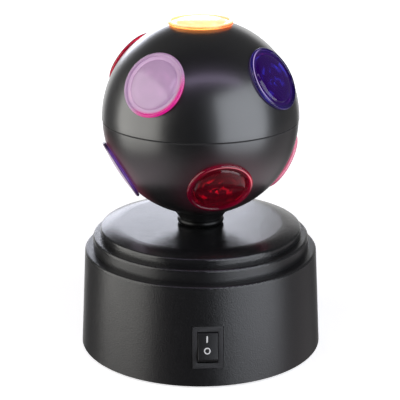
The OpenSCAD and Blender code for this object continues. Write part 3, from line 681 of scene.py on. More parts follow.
@dataclass(frozen=True)
class Emitter:
    """The lit face of a light emitter."""

    colour: Colour
    glow: float
    core: Colour = (1.0, 0.98, 0.9)
    cloud_scale: ClassVar[float] = 900.0
    roughness: ClassVar[float] = 0.25

    def material(self, name: str) -> Material:
        """Makes the material.

        Args:
            name: its name.

        Returns:
            The finished material.
        """
        material, tree, shader = new_material(name)
        cloud = tree.noise(tree.place(), self.cloud_scale, 2.0)
        colour = tree.mix(cloud, self.colour, self.core)
        tree.fill(shader, {
            "Base Color": colour, "Emission Color": colour,
            "Emission Strength": self.glow, "Roughness": self.roughness})
        return material


@dataclass(frozen=True)
class Tint:
    """A lit, tinted lens: a clear body in front of glowing prism facets."""

    body: Colour
    face: Colour
    glow: Colour
    spark: Colour
    rim: Colour
    rim_far: Colour
    rim_side: float = 0.0
    dark_ends: bool = False
    pale: Ramp | None = None
    # Colour of a highlight painted along the rim's crest, on the side away from rim_side
    painted_highlight: Colour | None = None
    # Colour of the light that the lens spills on the ball shell, painted there as emission
    spill: Colour | None = None
    spark_share: float = 0.3
    spark_top: float = 1.0
    clear: float = 0.9
    gloss: float = 0.07
    facet: ClassVar[str] = "facet"
    index: ClassVar[float] = 1.49
    # Ramps over the lens's radius, or along one direction across it
    edge_ramp: ClassVar[Ramp] = (0.80, 0.93)
    near_ramp: ClassVar[Ramp] = (0.15, 0.75)
    ends_ramp: ClassVar[Ramp] = (0.80, 0.97)
    low_ramp: ClassVar[Ramp] = (-0.45, 0.2)
    shade_ramp: ClassVar[Ramp] = (0.1, 0.8, 1.0, 0.5)
    # Radius, width and side of the highlight painted along the rim's crest
    crest_at: ClassVar[float] = 0.945
    highlight_ramp: ClassVar[Ramp] = (0.008, 0.024, 1.0, 0.0)
    highlight_side: ClassVar[Ramp] = (-0.9, -0.2, 1.0, 0.0)
    # Shares of a colour where it is deep in the rim, dim or behind the facets
    deep_body: ClassVar[float] = 0.7
    deep_rim: ClassVar[float] = 0.6
    dim: ClassVar[float] = 0.35
    behind: ClassVar[float] = 0.05
    facet_gloss: ClassVar[float] = 0.2
    flow_scale: ClassVar[float] = 150.0
    flow_ramp: ClassVar[Ramp] = (0.3, 0.7, 0.8, 1.0)
    smear_spread: ClassVar[float] = 0.06
    smear_scale: ClassVar[float] = 120.0
    wave_scale: ClassVar[float] = 260.0
    wave_depth: ClassVar[float] = 0.03 * MM

    def rim_glow(self, tree: Tree, polar: Sockets, near: Socket) -> Socket:
        """Wires the light that shows in the rim, and a highlight painted along its crest.

        Args:
            tree: the material's tree.
            polar: the point's place on the lens.
            near: how far the point lies to the rim's own side.

        Returns:
            The colour of the light.
        """
        flow = tree.span(tree.noise(tree.place(), self.flow_scale), *self.flow_ramp)
        glow = tree.mix(tree.times(near, flow), self.rim_far, self.rim)
        if self.pale is not None:
            glow = tree.mix(tree.span(polar["Height"], *self.pale), glow, self.face)
        # Painted highlight: a pale band painted into the rim's glow along its crest, on one
        # side, in place of a lamp's reflection
        if self.painted_highlight is not None:
            off = tree.math("ABSOLUTE", tree.math("SUBTRACT", polar["Radius"], self.crest_at))
            highlight_band = tree.span(off, *self.highlight_ramp)
            highlight_band = tree.times(highlight_band, tree.span(polar["Side"], *self.highlight_side))
            glow = tree.mix(highlight_band, glow, self.painted_highlight)
        return glow

    def body_material(self, name: str) -> Material:
        """Makes the clear tinted material of the lens body.

        Args:
            name: its name.

        Returns:
            The finished material.
        """
        material, tree, shader = new_material(name)
        polar = LensPolar.use(tree, Side=self.rim_side)
        edge = tree.span(polar["Radius"], *self.edge_ramp)
        near = tree.span(polar["Side"], *self.near_ramp)
        if self.dark_ends:
            ends = tree.span(tree.math("ABSOLUTE", polar["Side"]), *self.ends_ramp)
            near = tree.math("MAXIMUM", near, ends)
        deep = tree.mix(
            near, shaded(self.body, self.deep_body), shaded(self.rim, self.deep_rim))
        light = tree.mix(edge, self.face, self.rim_glow(tree, polar, near))
        hand = Handling.use(
            tree, Roughness=self.gloss, Spread=self.smear_spread, Scale=self.smear_scale)
        tree.fill(shader, {
            "Base Color": tree.mix(edge, self.body, deep), "Roughness": hand["Roughness"],
            "IOR": self.index, "Transmission Weight": self.clear,
            "Emission Color": light, "Emission Strength": 1.0})
        wave = tree.noise(tree.place(), self.wave_scale, 2.0)
        add_bump(tree, shader, wave, self.wave_depth)
        return material

    def prism_material(self, name: str) -> Material:
        """Makes the glowing material of the prism facets behind the lens.

        Args:
            name: its name.

        Returns:
            The finished material.
        """
        material, tree, shader = new_material(name)
        polar = LensPolar.use(tree, Side=self.rim_side)
        cut = tree.add("Attribute", attribute_name=self.facet).outputs["Fac"]
        over = tree.math("SUBTRACT", cut, 1.0 - self.spark_share)
        lit = tree.math("DIVIDE", over, self.spark_share, clamp=True)
        streak = Swirl.use(tree)["Mask"]
        low = tree.span(polar["Side"], *self.low_ramp, self.spark_top, 1.0)
        lit = tree.times(tree.times(lit, streak), low)
        shade = tree.span(polar["Radius"], *self.shade_ramp)
        base = tree.mix(tree.times(shade, cut), shaded(self.glow, self.dim), self.glow)
        tree.fill(shader, {
            "Base Color": shaded(self.body, self.behind), "Roughness": self.facet_gloss,
            "Emission Color": tree.mix(lit, base, self.spark), "Emission Strength": 1.0})
        return material


# Heights of the rubbed step edges of the base, and of the ball's seam
STEP_EDGES = (51.3 * MM, 58.3 * MM, 62.6 * MM)
SEAM = 120.95 * MM

# Plastics: colour, roughness, scale and depth of the grain, specular level, coat.
# Metals: colour and roughness. Emitters: colour and glow.
FINISHES: dict[Slot, Plastic | Metal | Emitter] = {
    Slot.HOUSING: Plastic(
        (0.0080, 0.0080, 0.0085), 0.32, 1900.0, 0.00006, 0.62,
        fleck=0.5, dust=0.2, levels=STEP_EDGES, polish=61.0 * MM),
    Slot.UNDERSIDE: Plastic((0.026, 0.026, 0.028), 0.55, 1400.0, 0.00004, 0.4),
    Slot.RUBBER: Plastic((0.016, 0.016, 0.016), 0.8, 900.0, 0.00005, 0.25),
    Slot.STEEL: Metal((0.60, 0.61, 0.63), 0.28),
    Slot.CELL: Plastic((0.05, 0.11, 0.17), 0.3, 700.0, 0.000005, 0.5, fleck=0.1),
    Slot.CONTACT: Metal((0.72, 0.71, 0.68), 0.25),
    Slot.SWITCH_FRAME: Plastic((0.024, 0.024, 0.025), 0.50, 1900.0, 0.00002, 0.5),
    Slot.SWITCH_ROCKER: Plastic((0.010, 0.010, 0.0105), 0.45, 2100.0, 0.00001, 0.4),
    Slot.TERMINAL: Metal((0.78, 0.70, 0.50), 0.3),
    Slot.CHASSIS: Metal((0.52, 0.53, 0.55), 0.38),
    Slot.GEARBOX: Metal((0.72, 0.56, 0.27), 0.3),
    Slot.MOTOR: Metal((0.64, 0.65, 0.67), 0.3),
    Slot.GEAR: Plastic((0.78, 0.75, 0.66), 0.45, 1200.0, 0.00001, 0.5, fleck=0.1),
    Slot.BUSH: Plastic((0.70, 0.67, 0.58), 0.5, 1200.0, 0.00001, 0.5, fleck=0.1),
    Slot.POST: Metal((0.74, 0.75, 0.77), 0.32),
    Slot.NUT: Metal((0.74, 0.60, 0.32), 0.28),
    Slot.LED: Emitter((1.0, 0.86, 0.55), 4.0),
    Slot.LEAD: Plastic((0.42, 0.03, 0.025), 0.35, 900.0, 0.000005, 0.5, fleck=0.1),
    Slot.BALL_SHELL: Plastic(
        (0.008, 0.008, 0.0084), 0.33, 1900.0, 0.000004, 0.8, 0.9,
        fleck=0.3, dust=0.15, spread=0.06, seam=SEAM),
    Slot.SPINDLE: Plastic((0.003, 0.003, 0.0032), 0.34, 1900.0, 0.000006, 0.3, spread=0.08),
}

TINTS: dict[Slot, Tint] = {
    Slot.LENS_AMBER: Tint(
        body=(1.0, 0.36, 0.07), face=(0.90, 0.74, 0.40), glow=(0.95, 0.62, 0.22),
        spark=(2.2, 2.0, 1.4), rim=(0.62, 0.10, 0.035), rim_far=(0.62, 0.10, 0.035),
        pale=(0.08, 0.115), spark_share=0.6),
    Slot.LENS_PINK: Tint(
        body=(0.70, 0.52, 0.70), face=(0.130, 0.074, 0.130), glow=(0.20, 0.105, 0.19),
        spark=(0.34, 0.15, 0.27), rim=(0.42, 0.003, 0.16), rim_far=(0.13, 0.075, 0.13),
        rim_side=0.75, clear=0.6, gloss=0.13),
    Slot.LENS_BLUE: Tint(
        body=(0.042, 0.010, 0.17), face=(0.012, 0.0, 0.046), glow=(0.018, 0.002, 0.08),
        spark=(0.10, 0.26, 1.10), rim=(0.004, 0.001, 0.030), rim_far=(0.008, 0.004, 0.045),
        rim_side=1.2, spark_share=0.45, painted_highlight=(0.50, 0.38, 0.72)),
    Slot.LENS_RED: Tint(
        body=(0.42, 0.010, 0.028), face=(0.005, 0.0, 0.001), glow=(0.030, 0.001, 0.004),
        spark=(1.30, 0.020, 0.11), rim=(0.050, 0.0, 0.006), rim_far=(0.070, 0.0, 0.009),
        rim_side=-0.6, spark_share=0.45, spark_top=0.10, painted_highlight=(0.62, 0.19, 0.23),
        spill=(0.016, 0.002, 0.005)),
    Slot.LENS_ROSE: Tint(
        body=(0.60, 0.26, 0.34), face=(0.09, 0.016, 0.030), glow=(0.42, 0.07, 0.13),
        spark=(0.95, 0.22, 0.34), rim=(0.20, 0.045, 0.080), rim_far=(0.22, 0.06, 0.095),
        spill=(0.075, 0.008, 0.024)),
    Slot.LENS_VIOLET: Tint(
        body=(0.025, 0.007, 0.065), face=(0.46, 0.38, 0.45), glow=(0.035, 0.014, 0.10),
        spark=(0.22, 0.14, 0.50), rim=(0.002, 0.001, 0.005), rim_far=(0.026, 0.006, 0.09),
        spill=(0.070, 0.010, 0.020), dark_ends=True, pale=(0.085, 0.12), spark_share=0.3),
}


class PaintShop:
    """Makes one material for each finish and puts materials on pieces."""

    made: ClassVar[dict[Slot, Material]] = {}

    @classmethod
    def material(cls, slot: Slot) -> Material:
        """Finds a slot's material, or makes it the first time.

        Args:
            slot: the record's slot.

        Returns:
            The material.
        """
        if slot not in cls.made:
            cls.made[slot] = FINISHES[slot].material(slot.value)
        return cls.made[slot]

    @staticmethod
    def coat(piece: Piece, *materials: Material) -> None:
        """Gives a piece new materials in place of what it had.

        Args:
            piece: the piece.
            materials: its materials, in the order of its faces' numbers.
        """
        if piece.data.materials:
            piece.data.materials.clear()
        for material in materials:
            piece.data.materials.append(material)


# ---- mesh tools


def put(name: str, data: bpy.types.ID) -> Piece:
    """Puts a new object in the scene.

    Args:
        name: its name.
        data: its mesh, light or camera.

    Returns:
        The new object.
    """
    made = bpy.data.objects.new(name, data)
    bpy.context.scene.collection.objects.link(made)
    return made


class Mesh:
    """Builds meshes from outlines."""

    # Angles in degrees: within one flat face, of an edge to round, of one that shows
    flat: ClassVar[float] = 1.0
    round_from: ClassVar[float] = 30.0
    crease: ClassVar[float] = 35.0
    rounded_crease: ClassVar[float] = 32.0
    weld: ClassVar[float] = 0.002 * MM
    on_axis: ClassVar[float] = 1e-9

    @staticmethod
    def bridge(made: Form, rings: list[Ring], sides: int) -> None:
        """Closes the strips between rings of points.

        Args:
            made: the mesh.
            rings: its rings, which may be a single point each.
            sides: number of faces round a strip.
        """
        for first, second in zip(rings, rings[1:]):
            for i in range(sides):
                corners = [first[i % len(first)], first[(i + 1) % len(first)]]
                corners += [second[(i + 1) % len(second)], second[i % len(second)]]
                unique = list(dict.fromkeys(corners))
                if len(unique) > 2:
                    made.faces.new(unique)

    @staticmethod
    def lathe(outline: Sequence[Point], sides: int) -> Form:
        """Turns an outline about the Z axis.

        Args:
            outline: outline as (radius, height) points.
            sides: number of steps round the axis.

        Returns:
            The turned mesh.
        """
        made = bmesh.new()
        turns = [2 * math.pi * i / sides for i in range(sides)]
        rings: list[Ring] = []
        for radius, height in outline:
            steps = turns if radius > Mesh.on_axis else turns[:1]
            places = [(radius * math.cos(a), radius * math.sin(a), height) for a in steps]
            rings.append([made.verts.new(place) for place in places])
        Mesh.bridge(made, rings, sides)
        bmesh.ops.recalc_face_normals(made, faces=made.faces)
        Mesh.smooth(made, Mesh.crease)
        return made

    @staticmethod
    def plate(outline: Sequence[Point], half: float, chamfer: float) -> Form:
        """Raises a thin plate from an outline.

        Args:
            outline: points round the plate, about the origin.
            half: half of the plate's thickness, above and below the origin.
            chamfer: width of the sloping edge below its face.

        Returns:
            The plate's mesh.
        """
        made = bmesh.new()
        reach = max(math.hypot(x, y) for x, y in outline)
        rings: list[Ring] = []
        for shrink, height in ((0.0, -half), (0.0, half - chamfer), (chamfer, half)):
            scale = 1.0 - shrink / reach
            rings.append([made.verts.new((x * scale, y * scale, height)) for x, y in outline])
        Mesh.bridge(made, rings, len(outline))
        made.faces.new(rings[-1])
        made.faces.new(rings[0][::-1])
        bmesh.ops.recalc_face_normals(made, faces=made.faces)
        Mesh.smooth(made, Mesh.crease)
        return made

    @staticmethod
    def softened(node: Piece, width: float) -> Form:
        """Copies a CAD node's mesh with its outer sharp edges rounded.

        Args:
            node: the CAD node.
            width: width of the rounding.

        Returns:
            The rounded mesh.
        """
        made = bmesh.new()
        made.from_mesh(node.data)
        bmesh.ops.remove_doubles(made, verts=made.verts, dist=Mesh.weld)
        flat = math.radians(Mesh.flat)
        bmesh.ops.dissolve_limit(made, angle_limit=flat, verts=made.verts, edges=made.edges)
        outer = [e for e in made.edges if len(e.link_faces) == 2 and e.is_convex]
        sharp = [e for e in outer if e.calc_face_angle() > math.radians(Mesh.round_from)]
        bmesh.ops.bevel(
            made, geom=sharp, offset=width, segments=3, profile=0.5,
            affect="EDGES", clamp_overlap=True)
        Mesh.smooth(made, Mesh.rounded_crease)
        return made

    @staticmethod
    def smooth(made: Form, sharp: float) -> None:
        """Shades a mesh smooth, apart from sharp edges.

        Args:
            made: the mesh.
            sharp: angle in degrees above which an edge stays sharp.
        """
        for face in made.faces:
            face.smooth = True
        for edge in made.edges:
            if len(edge.link_faces) == 2:
                edge.smooth = edge.calc_face_angle() < math.radians(sharp)

    @staticmethod
    def arc(centre: Point, radius: float, start: float, end: float, steps: int) -> list[Point]:
        """Lays points on an arc.

        Args:
            centre: the arc's centre.
            radius: its radius.
            start: its first angle in degrees.
            end: its last angle in degrees.
            steps: number of steps between them.

        Returns:
            The points.
        """
        turns = [math.radians(start + (end - start) * i / steps) for i in range(steps + 1)]
        return [
            (centre[0] + radius * math.cos(a), centre[1] + radius * math.sin(a)) for a in turns]

    @staticmethod
    def piece(made: Form, name: str, place: Matrix) -> Piece:
        """Makes an object of a mesh.

        Args:
            made: the mesh, which is freed.
            name: name of the new piece.
            place: where it stands in the part's frame.

        Returns:
            The new object.
        """
        data = bpy.data.meshes.new(name)
        made.to_mesh(data)
        made.free()
        piece = put(name, data)
        piece.matrix_world = place
        return piece


# ---- sub-assemblies


@dataclass
class SubAssembly:
    """Pieces of the lamp that belong together."""

    nodes: ClassVar[dict[str, Slot]] = {}

    def dress(self) -> list[str]:
        """Gives each CAD node that shows the finish of its slot.

        Returns:
            The names of the dressed nodes.
        """
        for node, slot in self.nodes.items():
            PaintShop.coat(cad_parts[node], PaintShop.material(slot))
        return list(self.nodes)

    def build(self) -> list[Piece]:
        """Returns the new pieces, which a sub-assembly of CAD nodes alone lacks."""
        return []


@dataclass
class Base(SubAssembly):
    """The stepped drum, its bottom plate and feet."""

    nodes = {
        "base_housing": Slot.HOUSING,
        "base_plate": Slot.UNDERSIDE,
        "base_screws": Slot.STEEL,
        "feet": Slot.RUBBER,
    }


@dataclass
class Power(SubAssembly):
    """The battery bay's door, cells, contacts and leads."""

    nodes = {
        "battery_door": Slot.UNDERSIDE,
        "battery_door_screw": Slot.STEEL,
        "battery_cells": Slot.CELL,
        "contact_plates": Slot.CONTACT,
        "contact_springs": Slot.CONTACT,
        "leads": Slot.LEAD,
    }


@dataclass
class Drive(SubAssembly):
    """The motor, its gear pair and the spindle that turns the ball."""

    nodes = {
        "chassis_plate": Slot.CHASSIS,
        "chassis_screws": Slot.STEEL,
        "gearbox": Slot.GEARBOX,
        "gearbox_screws": Slot.STEEL,
        "motor_can": Slot.MOTOR,
        "motor_shaft": Slot.STEEL,
        "pinion": Slot.GEAR,
        "drive_gear": Slot.GEAR,
        "gear_clip": Slot.STEEL,
        "neck_bush": Slot.BUSH,
        "spindle": Slot.SPINDLE,
        "ring_nut": Slot.SPINDLE,
    }


@dataclass
class Lamp(SubAssembly):
    """The fixed post with the light emitters at the ball's centre."""

    nodes = {
        "lamp_post": Slot.POST,
        "post_nut": Slot.NUT,
        "lamp_block": Slot.POST,
        "leds": Slot.LED,
    }


@dataclass
class Lens:
    """One coloured lens with its round rim, crown, plug and prism back."""

    node: str
    slot: Slot
    place: Matrix
    rim_radius: float = LENS_RADIUS
    rim_round: float = 0.95 * MM
    stand: float = 0.25 * MM
    web: float = 1.5 * MM
    groove: float = 0.05 * MM
    groove_in: float = 0.25 * MM
    groove_out: float = 0.75 * MM
    crown_radius: float = 12.5 * MM
    crown_height: float = 1.7 * MM
    shoulder: float = 2.2
    plug_radius: float = 14.25 * MM
    plug_wall: float = 1.3 * MM
    plug_depth: float = 3.2 * MM
    plug_ledge: float = 0.3 * MM
    prism_width: float = 4.2 * MM
    prism_depth: float = 0.9 * MM
    prism_ridge: Point = (0.45, 0.55)
    slack: float = 0.1 * MM
    sectors: int = 9
    sides: int = 112
    steps: int = 18
    rim_turn: ClassVar[Point] = (140.0, -90.0)
    scatter: ClassVar[tuple[float, float, float]] = (12.9898, 78.233, 43758.5453)

    def front(self) -> list[Point]:
        """Draws the outline from the crown's top over the rim to the seat.

        Returns:
            The outline's points.
        """
        power = 2.0 / self.shoulder
        dome = []
        for turn in (math.pi * i / (2 * self.steps) for i in range(self.steps)):
            rise = self.crown_height * math.cos(turn) ** power
            dome.append((self.crown_radius * math.sin(turn) ** power, self.web + rise))
        bead = (self.rim_radius - self.rim_round, self.stand + self.rim_round)
        low = self.web - self.groove
        groove = [(self.crown_radius + self.groove_in, low), (bead[0] - self.groove_out, low)]
        rim = Mesh.arc(bead, self.rim_round, *self.rim_turn, self.steps)
        seat = [(self.plug_radius + self.plug_ledge, 0.0), (self.plug_radius, 0.0)]
        return dome + groove + rim + seat

    def back(self) -> list[Point]:
        """Draws the outline from the seat down the plug to the prism rings.

        Returns:
            The outline's points.
        """
        inner = self.plug_radius - self.plug_wall
        points = [(self.plug_radius, -self.plug_depth), (inner, -self.plug_depth), (inner, 0.0)]
        for index in range(int(inner / self.prism_width), 0, -1):
            points.append((index * self.prism_width, 0.0))
            points.append(((index - 0.5) * self.prism_width, -self.prism_depth))
        return points + [(0.0, 0.0)]

    def cut_prisms(self, made: Form) -> None:
        """Cuts the prism rings into sectors and numbers their facets.

        Args:
            made: the turned lens.
        """
        layer = made.faces.layers.float.new(Tint.facet)
        inner = self.plug_radius - self.plug_wall
        share = self.sectors / (2 * math.pi)
        by_strip, by_sector, spread = self.scatter
        floor, ridge = self.prism_ridge
        for face in made.faces:
            middle = face.calc_center_median()
            radius = math.hypot(middle.x, middle.y)
            if radius < inner and middle.z < self.slack / 2:
                face.material_index = 1
                face.smooth = False
                strip = int(2 * radius / self.prism_width)
                sector = int(math.atan2(middle.y, middle.x) * share + self.sectors)
                wave = math.sin(strip * by_strip + sector * by_sector)
                face[layer] = wave * spread % 1.0
        for vertex in made.verts:
            x, y, z = vertex.co
            if z < -0.5 * self.prism_depth and math.hypot(x, y) < inner - self.slack:
                turn = math.atan2(y, x) * share
                vertex.co.z = z * (floor + ridge * abs(2 * (turn % 1.0) - 1))

    def build(self) -> Piece:
        """Makes the lens in place of its CAD node.

        Returns:
            The new piece.
        """
        made = Mesh.lathe(self.front() + self.back(), self.sides)
        self.cut_prisms(made)
        piece = Mesh.piece(made, self.node + "_dressed", self.place)
        tint = TINTS[self.slot]
        PaintShop.coat(
            piece, tint.body_material(self.node + "_body"),
            tint.prism_material(self.node + "_prism"))
        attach(piece, Body.BALL.value)
        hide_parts(self.node)
        return piece


@dataclass(frozen=True)
class Seat:
    """Which lens sits where on the ball."""

    node: str
    slot: Slot
    longitude: float
    latitude: float


@dataclass
class Ball(SubAssembly):
    """The turning ball: two half shells and nine lenses."""

    centre: float = 121.1 * MM
    upper_radius: float = 50.0 * MM
    lower_radius: float = 49.7 * MM
    seat_radius: float = 15.9 * MM
    turn: float = -35.4
    stagger: float = 45.2
    seats: tuple[Seat, ...] = (
        Seat("pole_lens", Slot.LENS_AMBER, 0.0, 90.0),
        Seat("upper_lens_front", Slot.LENS_PINK, 0.0, 31.0),
        Seat("upper_lens_right", Slot.LENS_BLUE, 90.0, 31.0),
        Seat("upper_lens_back", Slot.LENS_AMBER, 180.0, 31.0),
        Seat("upper_lens_left", Slot.LENS_RED, 270.0, 31.0),
        Seat("lower_lens_front", Slot.LENS_RED, 0.0, -31.0),
        Seat("lower_lens_right", Slot.LENS_ROSE, 90.0, -31.0),
        Seat("lower_lens_back", Slot.LENS_BLUE, 180.0, -31.0),
        Seat("lower_lens_left", Slot.LENS_VIOLET, 270.0, -31.0),
    )
    nodes = {"upper_shell": Slot.BALL_SHELL, "lower_shell": Slot.BALL_SHELL}

    def seat_frame(self, seat: Seat) -> Matrix:
        """Finds the frame of a lens seat.

        Args:
            seat: the seat.

        Returns:
            The seat's frame, with Z outward and X down the ball.
        """
        below = seat.latitude < 0
        radius = self.lower_radius if below else self.upper_radius
        lag = self.stagger if below else 0.0
        deep = math.sqrt(radius**2 - self.seat_radius**2)
        middle = Matrix.Translation((0, 0, self.centre))
        out = Matrix.Translation((0, 0, deep))
        if seat.latitude == 90.0:
            return middle @ out
        heading = math.radians(self.turn + seat.longitude + lag - 90.0)
        tip = Matrix.Rotation(math.radians(90.0 - seat.latitude), 4, "Y")
        return middle @ Matrix.Rotation(heading, 4, "Z") @ tip @ out

    def dress(self) -> list[str]:
        """Gives both shells their finish, with the light that the lenses spill on them.

        Returns:
            The names of the dressed nodes.
        """
        lit = [seat for seat in self.seats if TINTS[seat.slot].spill]
        spill = tuple(
            (self.seat_frame(seat).translation, TINTS[seat.slot].spill) for seat in lit)
        shell = replace(FINISHES[Slot.BALL_SHELL], spill=spill).material("ball_shell_lit")
        for node in self.nodes:
            PaintShop.coat(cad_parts[node], shell)
        return list(self.nodes)

    def build(self) -> list[Piece]:
        """Returns the lenses, made in their seats."""
        return [Lens(s.node, s.slot, self.seat_frame(s)).build() for s in self.seats]


@dataclass
class Switch(SubAssembly):
    """The panel switch with rounded edges, and the rocker's printed marks."""

    wall_radius: float = 61.7316 * MM
    height: float = 21.3 * MM
    tip: float = 5.213
    pivot: float = -3.6 * MM
    tilt: float = 11.0
    crease: float = 3.769 * MM
    bar_at: Point = (-0.3 * MM, 3.46 * MM)
    bar_size: Point = (0.76 * MM, 3.3 * MM)
    bar_corner: float = 0.6
    bar_slope: float = 0.4
    corner_steps: int = 6
    ring_at: Point = (-0.3 * MM, -2.25 * MM)
    ring_out: float = 1.62 * MM
    ring_stroke: float = 0.56 * MM
    ring_wall: float = 0.7
    ring_sides: int = 64
    ink: float = 0.05 * MM
    edge: float = 0.3 * MM
    mark_ink: Plastic = Plastic((0.62, 0.62, 0.60), 0.5, 2400.0, 0.000004, 0.4, fleck=0.2)
    nodes = {"switch_terminals": Slot.TERMINAL}

    def rocker_frame(self) -> Matrix:
        """Finds the rocker's frame at rest.

        Returns:
            The frame, with Z outward and Y up the wall.
        """
        wall = Matrix.Translation((0, -self.wall_radius, self.height))
        lean = Matrix.Rotation(math.radians(90.0 - self.tip), 4, "X")
        tilt = Matrix.Rotation(math.radians(-self.tilt), 4, "X")
        return wall @ lean @ Matrix.Translation((0, 0, self.pivot)) @ tilt

    def face_frame(self, at: Point) -> Matrix:
        """Finds a point on one of the rocker's two faces.

        Args:
            at: sideways and upward place on the rocker.

        Returns:
            A frame on the face, with Z out of it.
        """
        slope = math.radians(self.tilt) * (1.0 if at[1] > 0 else -1.0)
        lift = self.crease + abs(at[1]) * math.tan(math.radians(self.tilt))
        face = Matrix.Translation((at[0], at[1], lift)) @ Matrix.Rotation(slope, 4, "X")
        return self.rocker_frame() @ face

    def bar(self) -> Form:
        """Makes the upright bar mark.

        Returns:
            Its mesh.
        """
        half, tall = self.bar_size[0] / 2, self.bar_size[1] / 2
        corner = self.bar_corner * half
        outline: list[Point] = []
        for x, y, start in ((1, 1, 0.0), (-1, 1, 90.0), (-1, -1, 180.0), (1, -1, 270.0)):
            centre = (x * (half - corner), y * (tall - corner))
            outline += Mesh.arc(centre, corner, start, start + 90.0, self.corner_steps)
        return Mesh.plate(outline, self.ink, self.bar_slope * self.ink)

    def ring(self) -> Form:
        """Makes the ring mark.

        Returns:
            Its mesh.
        """
        out, inner, ink = self.ring_out, self.ring_out - self.ring_stroke, self.ink
        wall = ink * self.ring_wall
        outline = [(inner, -ink), (out, -ink), (out, wall), (out - ink, ink)]
        outline += [(inner + ink, ink), (inner, wall), (inner, -ink)]
        return Mesh.lathe(outline, self.ring_sides)

    def mark(self, made: Form, name: str, at: Point) -> Piece:
        """Prints a mark on the rocker.

        Args:
            made: the mark's mesh.
            name: name of the new piece.
            at: sideways and upward place on the rocker.

        Returns:
            The new piece.
        """
        piece = Mesh.piece(made, name, self.face_frame(at))
        PaintShop.coat(piece, self.mark_ink.material(name))
        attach(piece, Body.ROCKER.value)
        return piece

    def soften(self, node: str, slot: Slot, body: Body) -> Piece:
        """Makes a copy of one of the switch's CAD nodes with rounded edges.

        Args:
            node: the CAD node that it stands for.
            slot: its material slot.
            body: the body that it moves with.

        Returns:
            The new piece.
        """
        made = Mesh.softened(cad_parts[node], self.edge)
        piece = Mesh.piece(made, node + "_dressed", Matrix.Identity(4))
        PaintShop.coat(piece, PaintShop.material(slot))
        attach(piece, body.value)
        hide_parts(node)
        return piece

    def build(self) -> list[Piece]:
        """Makes the softened switch and the two printed marks.

        Returns:
            The new pieces.
        """
        return [
            self.soften("switch_body", Slot.SWITCH_FRAME, Body.BASE),
            self.soften("switch_rocker", Slot.SWITCH_ROCKER, Body.ROCKER),
            self.mark(self.bar(), "rocker_mark_on", self.bar_at),
            self.mark(self.ring(), "rocker_mark_off", self.ring_at),
        ]


# ---- studio


@dataclass(frozen=True)
class Softbox:
    """One soft panel of light, aimed at the lamp."""

    name: str
    azimuth: float
    elevation: float
    distance: float
    width: float
    height: float
    radiance: float
    colour: Colour = (1.0, 1.0, 1.0)

    def build(self, target: Vector) -> None:
        """Makes the panel.

        Args:
            target: the point that it faces.
        """
        data = bpy.data.lights.new(self.name, "AREA")
        data.shape = "RECTANGLE"
        data.size, data.size_y = self.width, self.height
        data.energy = self.radiance * math.pi * self.width * self.height
        data.color = self.colour
        light = put(self.name, data)
        turn, lift = math.radians(self.azimuth), math.radians(self.elevation)
        level = math.cos(lift)
        away = Vector((math.sin(turn) * level, -math.cos(turn) * level, math.sin(lift)))
        light.location = target + away * self.distance
        light.rotation_euler = (-away).to_track_quat("-Z", "Y").to_euler()
        light.visible_camera = False


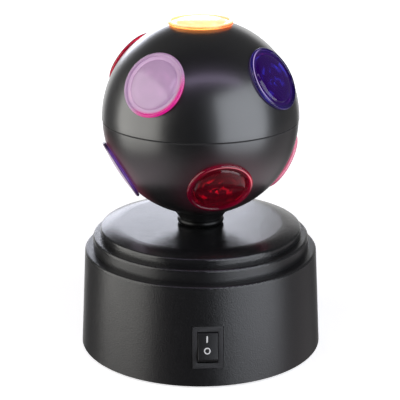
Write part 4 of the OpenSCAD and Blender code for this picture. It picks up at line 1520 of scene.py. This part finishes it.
@dataclass
class Studio:
    """Camera, floor, surroundings and soft light."""

    lens_mm: float = 124.69
    sensor_mm: float = 36.0
    camera_back: float = 0.67965
    camera_height: float = 0.30173
    camera_turn: float = -3.27
    pitch: float = 18.32
    shift: float = -0.0015
    clip: Point = (0.01, 50.0)
    floor_half: float = 3.0
    floor_drop: float = 0.1 * MM
    floor_albedo: float = 0.8
    floor_fade: Ramp = (0.2, 0.55, 0.67, 1.0)
    # Brightness of the surroundings in reflections, over one axis of their direction
    rear_depth: Ramp = (0.80, 0.95)
    rear_height: Ramp = (0.24, 0.42, 1.0, 0.1)
    haze_depth: Ramp = (-0.3, 0.4, 0.0, 0.12)
    under_drop: Ramp = (-0.28, -0.75)
    under_side: Ramp = (0.2, 0.7, 0.15, 1.0)
    beside_drop: Ramp = (-0.14, -0.36)
    beside_side: Ramp = (0.55, 0.8, 0.0, 0.4)
    above_height: Ramp = (0.3, 0.8, 0.0, 0.03)
    fill_light: float = 0.08
    under_tint: Colour = (1.0, 0.84, 0.91)
    target: Point = (0.0, 0.09)
    # Azimuth, elevation, distance, width, height, radiance and colour of each panel
    boxes: tuple[Softbox, ...] = (
        Softbox("softbox_left", -79.0, 8.0, 0.7, 0.82, 0.90, 2.6, (1.0, 0.99, 0.945)),
        Softbox("softbox_right", 46.5, 8.0, 0.7, 0.80, 0.90, 2.9, (0.89, 0.93, 1.0)),
        Softbox("softbox_back", 188.2, 12.6, 1.2, 0.66, 0.34, 3.3, (0.83, 0.86, 1.0)),
        Softbox("strip_top", 6.0, 58.0, 0.8, 1.2, 0.09, 3.4, (0.80, 0.66, 1.0)),
    )

    def camera(self) -> None:
        """Makes the camera at the photograph's viewing angle."""
        data = bpy.data.cameras.new("camera")
        data.lens, data.sensor_width = self.lens_mm, self.sensor_mm
        data.shift_x = self.shift
        data.clip_start, data.clip_end = self.clip
        camera = put("camera", data)
        turn, back = math.radians(self.camera_turn), self.camera_back
        camera.location = (back * math.sin(turn), -back * math.cos(turn), self.camera_height)
        camera.rotation_euler = (math.radians(90.0 - self.pitch), 0.0, turn)
        bpy.context.scene.camera = camera

    @staticmethod
    def seen(tree: Tree) -> Socket:
        """Returns 1 for a ray that sees the background, straight or through a lens."""
        path = tree.add("LightPath").outputs
        return tree.math("ADD", path["Is Camera Ray"], path["Is Transmission Ray"], clamp=True)

    def floor(self) -> None:
        """Makes the pale floor, which shows white and keeps the lamp's shadow."""
        made = bmesh.new()
        bmesh.ops.create_grid(made, x_segments=1, y_segments=1, size=self.floor_half)
        floor = Mesh.piece(made, "floor", Matrix.Translation((0, 0, -self.floor_drop)))
        material = bpy.data.materials.new("floor")
        tree = Tree.blank(material)
        matt = tree.add("BsdfDiffuse")
        tree.feed(matt.inputs["Color"], (self.floor_albedo,) * 3)
        away = tree.add("VectorMath", operation="LENGTH")
        tree.feed(away.inputs[0], tree.place())
        level = tree.span(away.outputs["Value"], *self.floor_fade)
        glow = tree.add("Emission")
        tree.feed(glow.inputs["Strength"], tree.times(self.seen(tree), level))
        both = tree.add("AddShader")
        tree.fill(both, {0: matt.outputs[0], 1: glow.outputs[0]})
        tree.feed(tree.add("OutputMaterial").inputs["Surface"], both.outputs[0])
        PaintShop.coat(floor, material)
        floor.visible_glossy = False

    def world(self) -> None:
        """Makes the white surroundings, dimmer in front of the lamp for its reflections."""
        world = bpy.data.worlds.new("studio")
        bpy.context.scene.world = world
        tree = Tree.blank(world)
        x, y, z = tree.axes(tree.add("TexCoord").outputs["Generated"])
        rear = tree.times(tree.span(y, *self.rear_depth), tree.span(z, *self.rear_height))
        rear = tree.math("ADD", rear, tree.span(y, *self.haze_depth), clamp=True)
        side = tree.span(tree.math("ABSOLUTE", x), *self.under_side)
        beside = tree.times(tree.span(z, *self.beside_drop), tree.span(x, *self.beside_side))
        under = tree.times(tree.span(z, *self.under_drop), side)
        under = tree.math("MAXIMUM", under, beside)
        above = tree.span(z, *self.above_height)
        path = tree.add("LightPath").outputs
        shine = tree.math("MAXIMUM", rear, tree.math("ADD", under, above))
        shine = tree.times(path["Is Glossy Ray"], shine)
        lit = tree.math("MAXIMUM", shine, tree.times(path["Is Diffuse Ray"], self.fill_light))
        clear = self.seen(tree)
        back = tree.add("Background")
        warm = tree.times(under, tree.math("SUBTRACT", 1.0, clear, clamp=True))
        tree.fill(back, {
            "Color": tree.mix(warm, (1.0, 1.0, 1.0), self.under_tint),
            "Strength": tree.math("MAXIMUM", clear, lit)})
        tree.feed(tree.add("OutputWorld").inputs["Surface"], back.outputs[0])

    def build(self) -> None:
        """Makes the whole studio."""
        self.camera()
        self.floor()
        self.world()
        for box in self.boxes:
            box.build(Vector((0.0, *self.target)))
        bpy.context.scene.view_settings.view_transform = "Standard"


def main() -> None:
    """Builds the studio and the lamp's sub-assemblies in order."""
    logging.basicConfig(level=logging.INFO, format="%(name)s: %(message)s")
    Studio().build()
    for part in (Base(), Power(), Drive(), Lamp(), Ball(), Switch()):
        for name in part.dress():
            LOG.info("dressed %s", name)
        for piece in part.build():
            LOG.info("built %s", piece.name)


if __name__ == "__main__":
    main()
